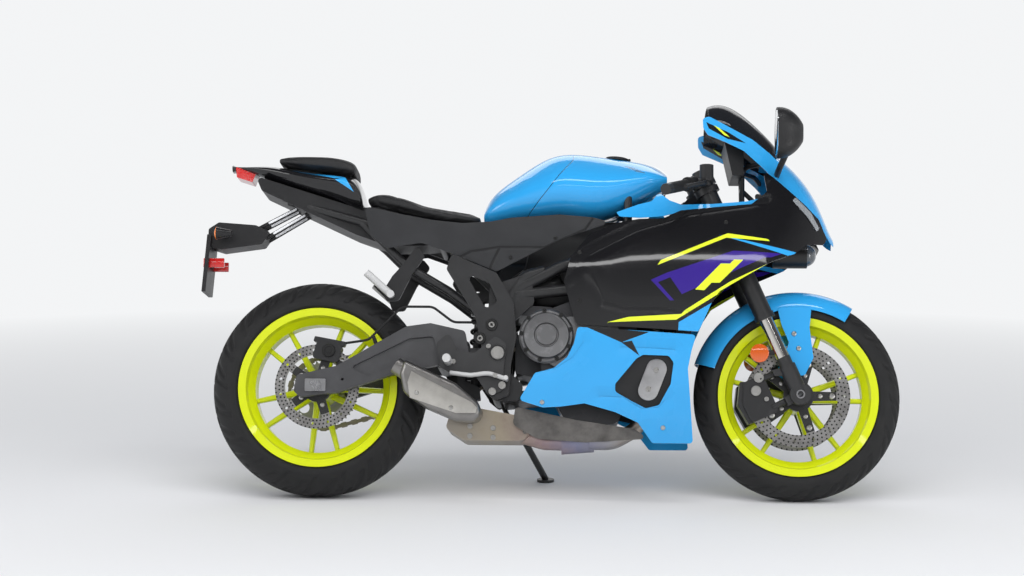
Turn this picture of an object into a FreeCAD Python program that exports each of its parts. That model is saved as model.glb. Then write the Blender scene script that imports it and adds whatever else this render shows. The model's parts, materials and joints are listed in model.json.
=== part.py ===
import FreeCAD, Part
import math
import os

# Sport bike leaning on its side stand. The bike is drawn upright, with X forward from the rear axle,
# Y to the rider's left and Z up from the line that both tyres roll on. It is leaned at the end.

# Driving dimensions, in millimetres and degrees.
wheelbase = 1395.0
leanDegrees = 14.0
rakeDegrees = 24.0
trail = 90.0
bodyReach = 1000.0      # rear axle to the front edge of the fuel tank
bodyHeight = 1000.0     # rolling line to the crown of the fuel tank
bodyHalfWidth = 200.0   # centre plane to the widest point of the upper fairing
moveClearance = 6.0     # between pieces that move past each other
seatGap = 0.4           # between soft pieces and what they lie on
overrun = 40.0          # how far a cutting shape runs past what it cuts

frontTyreRadius = 300.0
frontTyreHalfWidth = 60.0
frontRimHalfWidth = 57.0
rearTyreRadius = 315.0
rearTyreHalfWidth = 90.0
rearRimHalfWidth = 79.0
rimLipRadius = 232.0
rimSeatRadius = 217.0
rimWellRadius = 194.0
rimWall = 6.0
rimLipWidth = 5.0
tyreFit = 0.5
crownEndDegrees = 72.0
sideBulge = 4.0
runningFit = 0.05        # radial gap of an axle in its hub
hubRadius = 44.0
frontHubHalfWidth = 46.0
rearHubHalfWidth = 72.0
spokePairs = 5
frontSpokeTurn = 9.5
rearSpokeTurn = 59.0

frontAxleRadius = 12.5
frontAxleBore = 8.5
rearAxleRadius = 11.0
frontDiscRadius = 149.0
frontDiscPlace = 64.0
discThickness = 5.0
rearDiscRadius = 122.5
rearDiscPlace = 90.0

forkHalfSpacing = 105.0
forkTubeRadius = 27.0
forkSliderRadius = 20.5
forkTubeStart = 238.0
fullTurn = 360.0
forkTop = 708.0
lowerYokePlace = 478.0
lowerYokeHeight = 30.0
upperYokePlace = 640.0
upperYokeHeight = 18.0
stemRadius = 15.0
stemBore = 8.0
headTubeRadius = 31.0
headTubeBore = 21.0

chainPlace = 104.0
chainPitch = 15.875
rearSprocketTeeth = 42
frontSprocketTeeth = 16
frontSprocketReach = 600.0
frontSprocketHeight = 415.0

pivotReach = 526.0
pivotHeight = 411.0
armRightInner = 100.0
armRightOuter = 132.0
armLeftInner = 119.0
armLeftOuter = 143.0

panelWall = 3.0
frameTubeRadius = 17.5
subframeTubeRadius = 12.0

standPivotReach = 570.0
standPivotSide = 128.0
standPivotHeight = 232.0
standFootReach = 660.0
standFootSide = 290.0

lean = math.radians(leanDegrees)
rake = math.radians(rakeDegrees)
rearAxleHeight = rearTyreRadius - rearTyreHalfWidth + rearTyreHalfWidth / math.cos(lean)
frontAxleHeight = frontTyreRadius - frontTyreHalfWidth + frontTyreHalfWidth / math.cos(lean)
forkOffset = frontTyreRadius * math.sin(rake) - trail * math.cos(rake)

xAxis = FreeCAD.Vector(1, 0, 0)
yAxis = FreeCAD.Vector(0, 1, 0)
zAxis = FreeCAD.Vector(0, 0, 1)
origin = FreeCAD.Vector(0, 0, 0)
rearAxle = FreeCAD.Vector(0, 0, rearAxleHeight)
frontAxle = FreeCAD.Vector(wheelbase, 0, frontAxleHeight)
steerUp = FreeCAD.Vector(-math.sin(rake), 0, math.cos(rake))
steerFore = FreeCAD.Vector(math.cos(rake), 0, math.sin(rake))
swingPivot = FreeCAD.Vector(pivotReach, 0, pivotHeight)
groundUp = FreeCAD.Vector(0, -math.sin(lean), math.cos(lean))


def spot(shares, y=0.0):
    """Point of the bodywork, from shares of its reach and height."""
    return FreeCAD.Vector(shares[0] * bodyReach, y, shares[1] * bodyHeight)


def forkSpot(along, fore=0.0, side=0.0):
    """Point measured from the front axle, up and across the fork."""
    return frontAxle + steerUp * along + steerFore * fore + yAxis * side


def rod(start, end, radius):
    span = end - start
    return Part.makeCylinder(radius, span.Length, start, span)


def tube(start, end, radius, bore):
    span = end - start
    overshoot = span.normalize() * overrun
    return rod(start, end, radius).cut(rod(start - overshoot, end + overshoot, bore))


def disc(centre, side, radius, thickness, bore=0.0):
    """Plate across the bike, its middle plane at the given side."""
    start = centre + yAxis * (side - thickness / 2)
    plate = Part.makeCylinder(radius, thickness, start, yAxis)
    if bore:
        hole = Part.makeCylinder(bore, thickness + 2 * overrun, start - yAxis * overrun, yAxis)
        plate = plate.cut(hole)
    return plate


def mirrored(shape):
    return shape.mirror(origin, yAxis)


def bothSides(shape):
    return Part.makeCompound([shape, mirrored(shape)])


def joined(shapes):
    whole = shapes[0]
    if len(shapes) > 1:
        whole = whole.multiFuse(shapes[1:])
    return whole.removeSplitter()


def cornerArc(before, corner, after, radius):
    """Start, middle and end of the arc that rounds a corner, or None where the line runs on."""
    back = before - corner
    ahead = after - corner
    half = back.getAngle(ahead) / 2
    if half > math.pi / 2 - smallTurn:
        return None
    reach = min(back.Length, ahead.Length) * cornerShare
    cut = min(reach, radius / math.tan(half))
    true = cut * math.tan(half)
    back.normalize()
    ahead.normalize()
    bisector = (back + ahead).normalize()
    return corner + back * cut, corner + bisector * (true / math.sin(half) - true), corner + ahead * cut


cornerShare = 0.45
smallTurn = math.radians(1)


def largest(shape):
    return max(shape.Solids, key=lambda solid: solid.Volume)


def pinTo(shape, share, start, radius):
    """Peg from a given side out to the inner face of a right side cover."""
    bar = rod(spot(share, -start), spot(share, -bodyHalfWidth - overrun), radius).cut(shape)
    return min(bar.Solids, key=lambda solid: abs(solid.CenterOfMass.y))


def roundedEdges(start, corners, end, radius):
    """Straight runs from start to end, joined by tangent arcs at the corners between."""
    edges = []
    last = start
    points = [start] + corners + [end]
    for i in range(1, len(points) - 1):
        arc = cornerArc(points[i - 1], points[i], points[i + 1], radius)
        if arc:
            edges.append(Part.LineSegment(last, arc[0]).toShape())
            edges.append(Part.Arc(*arc).toShape())
            last = arc[2]
    edges.append(Part.LineSegment(last, end).toShape())
    return edges


def roundedWire(corners, radius):
    """Closed outline whose corners are rounded by tangent arcs."""
    start = (corners[-1] + corners[0]) / 2
    return Part.Wire(roundedEdges(start, corners, start, radius))


def sidePlate(shares, inner, outer, radius=0.0):
    """Plate standing along the bike, from its outline and its two sides."""
    corners = [spot(pair, inner) for pair in shares]
    if radius:
        wire = roundedWire(corners, radius)
    else:
        wire = Part.makePolygon(corners + corners[:1])
    return Part.Face(wire).extrude(yAxis * (outer - inner))


def bentRod(points, radius, bend):
    """Round bar through points, its straight runs joined by tangent arcs."""
    path = Part.Wire(roundedEdges(points[0], points[1:-1], points[-1], bend))
    first = points[1] - points[0]
    section = Part.Wire(Part.Circle(points[0], first, radius).toShape())
    return path.makePipeShell([section], True, True)


def skinSlab(reachShares, heightShares, widthShares, wall):
    """Curved wall on the right side, its half widths given on a grid of shares."""
    grid = []
    for i, reach in enumerate(reachShares):
        row = []
        for j, height in enumerate(heightShares):
            row.append(spot((reach, height), -widthShares[i][j] * bodyHalfWidth))
        grid.append(row)
    surface = Part.BSplineSurface()
    surface.interpolate(grid)
    return surface.toShape().extrude(yAxis * wall)


def skinPanel(outlineShares, slab, radius):
    """Right side panel cut from a curved wall along an outline."""
    blank = sidePlate(outlineShares, -bodyHalfWidth - overrun, 0.0, radius)
    return slab.common(blank).Solids[0]


def archWire(x, half, foot, crown, wall, fullShare):
    """Closed wire of an arch that stands across the bike."""
    shoulder = foot + (crown - foot) * fullShare
    outer = [(-half, foot), (-half * shoulderShare, shoulder), (0.0, crown)]
    outer += [(half * shoulderShare, shoulder), (half, foot)]
    inner = [(-half + wall, foot), (-half * shoulderShare + wall * shoulderShare, shoulder - wall * shoulderShare)]
    inner += [(0.0, crown - wall)]
    inner += [(half * shoulderShare - wall * shoulderShare, shoulder - wall * shoulderShare), (half - wall, foot)]
    curves = []
    for pairs in (outer, inner):
        curve = Part.BSplineCurve()
        curve.interpolate([FreeCAD.Vector(x, y, z) for y, z in pairs])
        curves.append(curve.toShape())
    lines = []
    for pick in (0, -1):
        ends = [FreeCAD.Vector(x, pairs[pick][0], pairs[pick][1]) for pairs in (outer, inner)]
        lines.append(Part.LineSegment(ends[0], ends[1]).toShape())
    return Part.Wire([curves[0], lines[1], curves[1], lines[0]])


shoulderShare = 0.78


def archShell(stationShares, halfShares, wall, fullShare):
    """Shell lofted through arches; each station gives reach, half width, foot and crown."""
    wires = []
    for reach, half, foot, crown in stationShares:
        width = half * halfShares
        wires.append(archWire(reach * bodyReach, width, foot * bodyHeight, crown * bodyHeight, wall, fullShare))
    return Part.makeLoft(wires, True)


def lozengeWire(x, half, foot, crown, waistShare, crownFullShare):
    """Closed smooth section across the bike, widest at its waist."""
    waist = foot + (crown - foot) * waistShare
    high = waist + (crown - waist) * crownFullShare
    low = foot + (waist - foot) * lowFullShare
    pairs = [(0.0, foot), (half * footFlatShare, foot), (half * footWidthShare, low), (half, waist),
             (half * crownWidthShare, high), (0.0, crown)]
    pairs += [(-y, z) for y, z in reversed(pairs[1:-1])]
    curve = Part.BSplineCurve()
    curve.interpolate([FreeCAD.Vector(x, y, z) for y, z in pairs], PeriodicFlag=True)
    return Part.Wire(curve.toShape())


footFlatShare = 0.42
footWidthShare = 0.8
crownWidthShare = 0.72
lowFullShare = 0.27


def hullLoft(stationShares, halfWidth, waistShare, crownFullShare):
    """Solid lofted through closed sections; each gives reach, half width, foot and crown."""
    wires = []
    for reach, half, foot, crown in stationShares:
        wires.append(lozengeWire(reach * bodyReach, half * halfWidth, foot * bodyHeight, crown * bodyHeight,
                                 waistShare, crownFullShare))
    return Part.makeLoft(wires, True)


def revolved(centre, pairs):
    """Ring turned about an axle; each pair gives a radius and a side."""
    corners = [centre + zAxis * radius + yAxis * side for radius, side in pairs]
    return Part.Face(Part.makePolygon(corners + corners[:1])).revolve(centre, yAxis, fullTurn)


def makeTyre(axle, radius, halfWidth, rimHalfWidth):
    """Tyre with a round crown, two bulging sides and beads between the rim's lips."""
    bead = rimHalfWidth - rimLipWidth - tyreFit
    crownCentre = radius - halfWidth
    turn = math.radians(crownEndDegrees)
    shoulder = crownCentre + halfWidth * math.cos(turn)
    shoulderSide = halfWidth * math.sin(turn)
    beadTop = rimLipRadius + tyreFit
    flankSide = (shoulderSide + bead) / 2 + sideBulge
    flank = (shoulder + beadTop) / 2
    places = [(shoulder, -shoulderSide), (radius, 0.0), (shoulder, shoulderSide), (flank, flankSide), (beadTop, bead),
              (rimSeatRadius + tyreFit, bead), (rimSeatRadius + tyreFit, -bead), (beadTop, -bead), (flank, -flankSide)]
    spots = [axle + zAxis * r + yAxis * y for r, y in places]
    crown, flanks, bead = spots[:3], spots[2:5] + spots[-2:] + spots[:1], spots[4:-1]
    edges = [Part.Arc(*crown).toShape(), Part.Arc(*flanks[:3]).toShape()]
    edges += [Part.LineSegment(*pair).toShape() for pair in zip(bead, bead[1:])]
    edges.append(Part.Arc(*flanks[3:]).toShape())
    return Part.Face(Part.Wire(edges)).revolve(axle, yAxis, fullTurn)


def makeRim(axle, halfWidth, hubHalfWidth, turnDegrees, bore):
    """Cast wheel: barrel, hub and pairs of thin spokes."""
    seatEdge = halfWidth - rimLipWidth
    hump = rimSeatRadius - rimLipWidth
    humpSide = seatEdge * humpShare
    wellSide = seatEdge * wellShare
    outside = [(rimLipRadius, halfWidth), (rimLipRadius, seatEdge), (rimSeatRadius, seatEdge), (hump, humpSide)]
    outside += [(rimWellRadius, wellSide)]
    inside = [(rimWellRadius - rimWall, wellSide), (hump - rimWall, humpSide), (rimSeatRadius - rimWall, seatEdge)]
    half = outside + [(r, -y) for r, y in reversed(outside)]
    half += [(r, -y) for r, y in reversed(inside)]
    half += inside
    barrel = revolved(axle, half)
    hub = Part.makeCylinder(hubRadius, 2 * hubHalfWidth, axle - yAxis * hubHalfWidth, yAxis)
    spokes = []
    for i in range(spokePairs):
        centre = turnDegrees + i * fullTurn / spokePairs
        for side in (-1, 1):
            spokes.append(makeSpoke(axle, centre + side * spokeSpreadDegrees, centre + side * spokeRootDegrees))
    wheel = joined([barrel, hub] + spokes)
    hole = Part.makeCylinder(bore, 2 * (hubHalfWidth + overrun), axle - yAxis * (hubHalfWidth + overrun), yAxis)
    return wheel.cut(hole)


humpShare = 0.72
wellShare = 0.4
spokeSpreadDegrees = 12.0
spokeRootDegrees = 17.0
spokeRootHalfHeight = 10.0
spokeTipHalfHeight = 7.0
spokeRootHalfWidth = 19.0
spokeTipHalfWidth = 12.0


def makeSpoke(axle, tipDegrees, rootDegrees):
    """Tapered spoke from inside the hub to inside the barrel wall."""
    start = hubRadius * spokeStartShare
    end = rimWellRadius - rimWall * spokeStartShare
    root = axle + FreeCAD.Vector(math.cos(math.radians(rootDegrees)), 0, math.sin(math.radians(rootDegrees))) * start
    tip = axle + FreeCAD.Vector(math.cos(math.radians(tipDegrees)), 0, math.sin(math.radians(tipDegrees))) * end
    along = (tip - root).normalize()
    across = along.cross(yAxis)
    wires = []
    for place, height, width in ((root, spokeRootHalfHeight, spokeRootHalfWidth),
                                 (tip, spokeTipHalfHeight, spokeTipHalfWidth)):
        corners = []
        for u, v in ((1, -bevelShare), (1, bevelShare), (bevelShare, 1), (-bevelShare, 1),
                     (-1, bevelShare), (-1, -bevelShare), (-bevelShare, -1), (bevelShare, -1)):
            corners.append(place + across * (u * height) + yAxis * (v * width))
        wires.append(Part.makePolygon(corners + corners[:1]))
    return Part.makeLoft(wires, True, True)


spokeStartShare = 0.85
bevelShare = 0.6


def makeFrontDiscs():
    ring = disc(frontAxle, frontDiscPlace, frontDiscRadius, discThickness, frontDiscRadius * discBoreShare)
    ring = ring.cut(discHoles(frontAxle, frontDiscPlace, frontDiscRadius))
    carrier = disc(frontAxle, frontDiscPlace, hubRadius, discThickness, hubRadius * carrierBoreShare)
    arms = [carrierArm(frontAxle, frontDiscPlace, frontDiscRadius, i * fullTurn / spokePairs) for i in range(spokePairs)]
    spacerStart = frontAxle + yAxis * frontHubHalfWidth
    spacer = tube(spacerStart, frontAxle + yAxis * frontDiscPlace, hubRadius, hubRadius * carrierBoreShare)
    one = joined([ring, carrier, spacer] + arms)
    return bothSides(one)


discBoreShare = 0.76
carrierBoreShare = 0.6
discHoleRadius = 4.0
discHoleCount = 15
discHoleShare = 0.88


def discHoles(axle, side, radius):
    holes = []
    for i in range(discHoleCount):
        angle = math.radians(i * fullTurn / discHoleCount)
        place = axle + FreeCAD.Vector(math.cos(angle), 0, math.sin(angle)) * (radius * discHoleShare)
        holes.append(Part.makeCylinder(discHoleRadius, 2 * overrun, place + yAxis * (side - overrun), yAxis))
    return Part.makeCompound(holes)


def carrierArm(axle, side, radius, degrees):
    angle = math.radians(degrees)
    out = FreeCAD.Vector(math.cos(angle), 0, math.sin(angle))
    across = out.cross(yAxis)
    inner = hubRadius * spokeStartShare
    outer = radius * (discBoreShare + armBiteShare)
    halfIn = hubRadius * armWidthShare
    halfOut = halfIn * spokeStartShare
    base = axle + yAxis * (side - discThickness / 2)
    corners = [base + out * inner + across * halfIn, base + out * outer + across * halfOut]
    corners += [base + out * outer - across * halfOut, base + out * inner - across * halfIn]
    return Part.Face(Part.makePolygon(corners + corners[:1])).extrude(yAxis * discThickness)


armBiteShare = 0.03
armWidthShare = 0.32


def makeRearDisc():
    side = -rearDiscPlace
    ring = disc(rearAxle, side, rearDiscRadius, discThickness, rearDiscRadius * discBoreShare)
    ring = ring.cut(discHoles(rearAxle, side, rearDiscRadius))
    carrier = disc(rearAxle, side, hubRadius, discThickness, hubRadius * carrierBoreShare)
    arms = [carrierArm(rearAxle, side, rearDiscRadius, i * fullTurn / spokePairs) for i in range(spokePairs)]
    spacer = tube(rearAxle - yAxis * rearHubHalfWidth, rearAxle + yAxis * side, hubRadius,
                  hubRadius * carrierBoreShare)
    return joined([ring, carrier, spacer] + arms)


def sprocketPitchRadius(teeth):
    return chainPitch / (2 * math.sin(math.pi / teeth))


toothDropShare = 0.42
toothDepthShare = 0.45
sprocketThickness = 6.0


def sprocketPlate(centre, side, teeth, bore, phase=0.0):
    """Toothed plate whose teeth end below the chain's rollers."""
    tip = sprocketPitchRadius(teeth) - chainPitch * toothDropShare
    root = tip - chainPitch * toothDepthShare
    base = centre + yAxis * (side - sprocketThickness / 2)
    corners = []
    for i in range(teeth):
        for share, radius in ((0.0, root), (toothRiseShare, tip), (1 - 2 * toothRiseShare, tip),
                              (1 - toothRiseShare, root)):
            angle = 2 * math.pi * (i + share + phase) / teeth
            corners.append(base + FreeCAD.Vector(math.cos(angle), 0, math.sin(angle)) * radius)
    plate = Part.Face(Part.makePolygon(corners + corners[:1])).extrude(yAxis * sprocketThickness)
    hole = Part.makeCylinder(bore, 2 * overrun, centre + yAxis * (side - overrun), yAxis)
    return plate.cut(hole)


toothRiseShare = 0.28


def makeRearSprocket():
    bore = hubRadius * carrierBoreShare
    plate = sprocketPlate(rearAxle, chainPlace, rearSprocketTeeth, bore)
    pockets = []
    for i in range(spokePairs):
        angle = 2 * math.pi * i / spokePairs
        reach = (sprocketPitchRadius(rearSprocketTeeth) + hubRadius) / 2
        place = rearAxle + FreeCAD.Vector(math.cos(angle), 0, math.sin(angle)) * reach
        pockets.append(Part.makeCylinder(hubRadius * pocketShare, 2 * overrun,
                                         place + yAxis * (chainPlace - overrun), yAxis))
    plate = plate.cut(Part.makeCompound(pockets))
    spacer = tube(rearAxle + yAxis * rearHubHalfWidth, rearAxle + yAxis * chainPlace, hubRadius, bore)
    return joined([plate, spacer])


pocketShare = 0.36


def chainPath():
    """Lines and arcs of the chain's pitch line, with their lengths."""
    rear = FreeCAD.Vector(0, 0, rearAxleHeight)
    front = FreeCAD.Vector(frontSprocketReach, 0, frontSprocketHeight)
    big = sprocketPitchRadius(rearSprocketTeeth)
    small = sprocketPitchRadius(frontSprocketTeeth)
    span = front - rear
    tilt = math.atan2(span.z, span.x)
    open = math.acos((big - small) / span.Length)
    run = math.sqrt(span.Length ** 2 - (big - small) ** 2)
    pieces = [('arc', rear, big, tilt + open, tilt - open + 2 * math.pi)]
    low = tilt - open
    pieces.append(('line', rear + polar(low) * big, polar(low + math.pi / 2), run))
    pieces.append(('arc', front, small, low, tilt + open))
    high = tilt + open
    pieces.append(('line', front + polar(high) * small, polar(high + math.pi / 2), run))
    return pieces


def polar(angle):
    return FreeCAD.Vector(math.cos(angle), 0, math.sin(angle))


def chainSpots():
    """Roller centres spaced evenly along the loop, each with its outward direction."""
    pieces = chainPath()
    lengths = []
    for piece in pieces:
        if piece[0] == 'arc':
            lengths.append(piece[2] * (piece[4] - piece[3]))
        else:
            lengths.append(piece[3])
    total = sum(lengths)
    links = 2 * round(total / chainPitch / 2)
    spots = []
    for i in range(links):
        rest = total * i / links
        index = 0
        while rest > lengths[index]:
            rest -= lengths[index]
            index += 1
        piece = pieces[index]
        if piece[0] == 'arc':
            angle = piece[3] + rest / piece[2]
            spots.append((piece[1] + polar(angle) * piece[2], polar(angle)))
        else:
            spots.append((piece[1] + piece[2] * rest, yAxis.cross(piece[2])))
    return spots


linkHalfHeight = 7.0
chainInnerHalfWidth = 5.5
chainOuterHalfWidth = 9.0


def makeChain():
    """Fixed loop: two endless rows of plates, rollers between them and outer plates on every other link."""
    spots = chainSpots()
    count = len(spots)
    inner = [place - out * (linkHalfHeight * beadShare) for place, out in spots]
    outer = [place + out * (linkHalfHeight * beadShare) for place, out in spots]
    loop = Part.Face(Part.makePolygon(outer + outer[:1])).cut(Part.Face(Part.makePolygon(inner + inner[:1])))
    band = loop.extrude(yAxis * (2 * chainInnerHalfWidth))
    band.translate(yAxis * (chainPlace - chainInnerHalfWidth))
    plates = []
    for i in range(0, count, 2):
        first = spots[i][0]
        last = spots[(i + 1) % count][0]
        along = (last - first).normalize()
        out = along.cross(yAxis)
        nose = along * (linkHalfHeight * spokeStartShare)
        rise = out * linkHalfHeight
        corners = [first - nose, first + rise, last + rise, last + nose, last - rise, first - rise]
        for side in (-1, 1):
            inner = yAxis * (chainPlace + side * chainInnerHalfWidth)
            face = Part.Face(Part.makePolygon([corner + inner for corner in corners + corners[:1]]))
            plates.append(face.extrude(yAxis * (side * (chainOuterHalfWidth - chainInnerHalfWidth))))
    return band.multiFuse(plates)


beadShare = 0.7


def makeHeadTube():
    return tube(forkSpot(lowerYokePlace + lowerYokeHeight + moveClearance, -forkOffset),
                forkSpot(upperYokePlace - moveClearance, -forkOffset), headTubeRadius, headTubeBore)


def frameBars():
    """Rails, cross tubes and pivot plates, which most brackets seat on."""
    bars = []
    for side in (-1, 1):
        for shares in (upperRailShares, lowerRailShares, seatTubeShares):
            points = [spot(trio[:2], side * trio[2] * frameHalfWidth) for trio in shares]
            bars.append(bentRod(points, frameTubeRadius, frameBend))
        plate = sidePlate(pivotPlateShares, side * pivotPlateInner, side * pivotPlateOuter, frameTubeRadius)
        bars.append(plate)
    for share in crossTubeShares:
        bars.append(rod(spot(share, -pivotPlateInner - plateBite), spot(share, pivotPlateInner + plateBite),
                        frameTubeRadius))
    return bars


def makeFrame():
    """Steel tube frame with head tube, cross tubes and pivot plates."""
    head = makeHeadTube()
    bars = frameBars()
    for side in (-1, 1):
        bars.append(sidePlate(shockLugShares, side * eyeHalfWidth, side * (eyeHalfWidth + plateBite), panelWall))
    bars.append(makeStandBracket())
    tank = makeFuelTank()
    for side in (-1, 1):
        foot = spot(tankPegShare, side * frameHalfWidth)
        peg = rod(foot, foot + zAxis * tankHalfWidth, pegRadius).cut(tank)
        bars.append(min(peg.Solids, key=lambda solid: solid.CenterOfMass.z))
    boss = rod(swingPivot - yAxis * (pivotPlateOuter + plateBite), swingPivot + yAxis * (pivotPlateOuter + plateBite),
               pivotBoltRadius)
    body = joined(bars + [boss])
    body = joined([body, head])
    bore = rod(forkSpot(lowerYokePlace, -forkOffset), forkSpot(upperYokePlace + overrun, -forkOffset), headTubeBore)
    return body.cut(bore)


frameHalfWidth = 118.0
frameBend = 60.0
plateBite = 4.0
pivotPlateInner = 120.0
pivotPlateOuter = 130.0
pivotBoltRadius = 10.0
upperRailShares = [(1.112, 0.84, 0.12), (1.03, 0.775, 0.85), (0.9, 0.735, 1.06), (0.7, 0.665, 1.06), (0.575, 0.6, 0.97)]
lowerRailShares = [(1.135, 0.787, 0.12), (1.06, 0.727, 0.87), (1.02, 0.64, 1.06), (0.82, 0.61, 1.08), (0.575, 0.585, 0.97)]
seatTubeShares = [(0.66, 0.655, 1.0), (0.6, 0.64, 0.98), (0.54, 0.56, 0.97), (0.535, 0.5, 0.97)]
pivotPlateShares = [(0.5, 0.61), (0.62, 0.65), (0.63, 0.56), (0.565, 0.5), (0.56, 0.36), (0.6, 0.32), (0.59, 0.276),
                    (0.51, 0.276), (0.49, 0.38), (0.495, 0.5)]
tankPegShare = (0.9, 0.735)
crossTubeShares = [(0.53, 0.6), (0.525, 0.295)]
shockLugShares = [(0.448, 0.575), (0.452, 0.605), (0.53, 0.617), (0.53, 0.583)]


def makeSubframe():
    """Rear frame: seat rails and the lower braces with the passenger hangers' loops."""
    bars = []
    for side in (-1, 1):
        for shares in (seatRailShares, braceShares):
            points = [spot(trio[:2], side * trio[2] * subframeHalfWidth) for trio in shares]
            bars.append(bentRod(points, subframeTubeRadius, frameBend))
    for share in railCrossShares:
        bars.append(rod(spot(share, -subframeHalfWidth), spot(share, subframeHalfWidth), subframeTubeRadius))
    return largest(joined(bars).cut(frameBars()))


subframeHalfWidth = 92.0
seatRailShares = [(0.528, 0.604, 1.0), (0.42, 0.71, 1.0), (0.3, 0.755, 1.0), (0.12, 0.805, 0.9), (-0.1, 0.87, 0.6)]
braceShares = [(0.515, 0.5, 1.22), (0.38, 0.6, 1.0), (0.26, 0.67, 1.0), (0.12, 0.805, 0.9)]
railCrossShares = [(0.36, 0.733), (0.2, 0.783)]


def makeEngine():
    """Parallel twin: crankcase, sump, inclined cylinders and head."""
    case = sidePlate(crankcaseShares, -crankcaseHalfWidth, crankcaseHalfWidth, caseRound)
    sump = sidePlate(sumpShares, -sumpHalfWidth, sumpHalfWidth, caseRound)
    block = sidePlate(cylinderShares, -cylinderHalfWidth, cylinderHalfWidth, caseRound / 2)
    head = sidePlate(headShares, -headHalfWidth, headHalfWidth, caseRound)
    shaft = rod(spot((frontSprocketReach / bodyReach, frontSprocketHeight / bodyHeight), 0),
                spot((frontSprocketReach / bodyReach, frontSprocketHeight / bodyHeight), chainPlace - plateBite),
                shaftRadius)
    ribs = []
    for i in range(ribCount):
        place = (i + 0.5) / ribCount
        reach = cylinderShares[0][0] + (cylinderShares[3][0] - cylinderShares[0][0]) * place
        height = cylinderShares[0][1] + (cylinderShares[3][1] - cylinderShares[0][1]) * place
        depth = cylinderShares[1][0] - cylinderShares[0][0]
        foot = spot((reach, height), -cylinderHalfWidth - ribHeight)
        span = spot((reach + depth, height - depth * ribSlopeShare), -cylinderHalfWidth - ribHeight) - foot
        rib = Part.Face(Part.makePolygon([foot, foot + span, foot + span + zAxis * ribWidth, foot + zAxis * ribWidth,
                                          foot])).extrude(yAxis * (2 * (cylinderHalfWidth + ribHeight)))
        ribs.append(rib)
    gearbox = sidePlate(gearboxShares, -gearboxHalfWidth, gearboxHalfWidth, tankRound)
    lugs = [sidePlate(shares, -pivotPlateInner, pivotPlateInner, panelWall) for shares in engineLugShares]
    return largest(joined([case, sump, block, head, shaft, gearbox] + ribs + lugs).cut(frameBars() + [makeStandBracket()]))


crankcaseHalfWidth = 148.0
sumpHalfWidth = 95.0
cylinderHalfWidth = 90.0
headHalfWidth = 96.0
caseRound = 26.0
shaftRadius = 14.0
gearboxHalfWidth = 88.0
gearboxShares = [(0.575, 0.36), (0.575, 0.47), (0.67, 0.5), (0.67, 0.34)]
engineLugShares = [[(0.54, 0.528), (0.54, 0.558), (0.68, 0.55), (0.68, 0.52)],
                   [(0.54, 0.272), (0.54, 0.3), (0.72, 0.32), (0.72, 0.29)]]
ribCount = 4
ribHeight = 4.0
ribWidth = 6.0
ribSlopeShare = 0.26
crankcaseShares = [(0.655, 0.33), (0.645, 0.45), (0.66, 0.535), (0.74, 0.565), (0.91, 0.52), (0.945, 0.44),
                   (0.935, 0.33), (0.9, 0.285), (0.7, 0.285)]
sumpShares = [(0.68, 0.3), (0.9, 0.3), (0.87, 0.215), (0.73, 0.205)]
cylinderShares = [(0.745, 0.53), (0.9, 0.49), (0.94, 0.62), (0.785, 0.66)]
headShares = [(0.775, 0.65), (0.945, 0.605), (0.965, 0.67), (0.945, 0.715), (0.825, 0.75), (0.795, 0.72)]


def coverDome(share, side, start, radius, rise):
    """Round engine cover: stepped rim, dome and centre boss turned about its axis."""
    centre = spot(share, 0.0)
    profile = [(0.0, start)] + [(radius * across, start + rise * up) for across, up in domeShares]
    corners = [centre + zAxis * r + yAxis * (side * y) for r, y in profile]
    return Part.Face(Part.makePolygon(corners + corners[:1])).revolve(centre, yAxis, fullTurn)


domeShares = [(1.0, 0.0), (1.0, 0.35), (0.93, 0.5), (0.86, 0.5), (0.8, 0.85), (0.45, 1.0), (0.42, 0.85), (0.38, 0.85),
              (0.36, 1.0), (0.0, 1.0)]


def makeClutchCover():
    dome = coverDome(clutchShare, -1, crankcaseHalfWidth, clutchRadius, coverRise)
    tail = sidePlate(clutchTailShares, -crankcaseHalfWidth, -crankcaseHalfWidth - clutchTailRise, caseRound)
    return joined([dome, tail])


clutchShare = (0.666, 0.46)
clutchTailRise = 12.0
clutchRadius = 79.0
coverRise = 44.0
clutchTailShares = [(0.66, 0.39), (0.72, 0.52), (0.86, 0.5), (0.92, 0.42), (0.9, 0.34), (0.78, 0.32)]


def makeGeneratorCover():
    dome = coverDome(generatorShare, 1, crankcaseHalfWidth, generatorRadius, generatorRise)
    lid = sidePlate(sprocketLidShares, chainPlace + chainOuterHalfWidth + moveClearance, sprocketLidSide, tankRound)
    case = sidePlate(crankcaseShares, -crankcaseHalfWidth, crankcaseHalfWidth, caseRound)
    return Part.makeCompound([dome, largest(lid.cut(case))])


generatorShare = (0.83, 0.42)
generatorRadius = 70.0
generatorRise = 20.0
sprocketLidSide = 144.0
sprocketLidShares = [(0.576, 0.41), (0.585, 0.47), (0.64, 0.48), (0.67, 0.44), (0.66, 0.36), (0.585, 0.345)]


def makeRadiator():
    core = sidePlate(radiatorShares, -radiatorHalfWidth, radiatorHalfWidth)
    tanks = []
    for side in (-1, 1):
        tanks.append(sidePlate(radiatorTankShares, side * radiatorHalfWidth, side * (radiatorHalfWidth + tankDepth),
                               tankRound))
    ears = [rod(spot(radiatorEarShares[0], side * radiatorEarSide), spot(radiatorEarShares[1], side * radiatorEarSide),
                stayRadius) for side in (-1, 1)]
    return largest(joined([core] + tanks + ears).cut(frameBars()))


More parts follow.
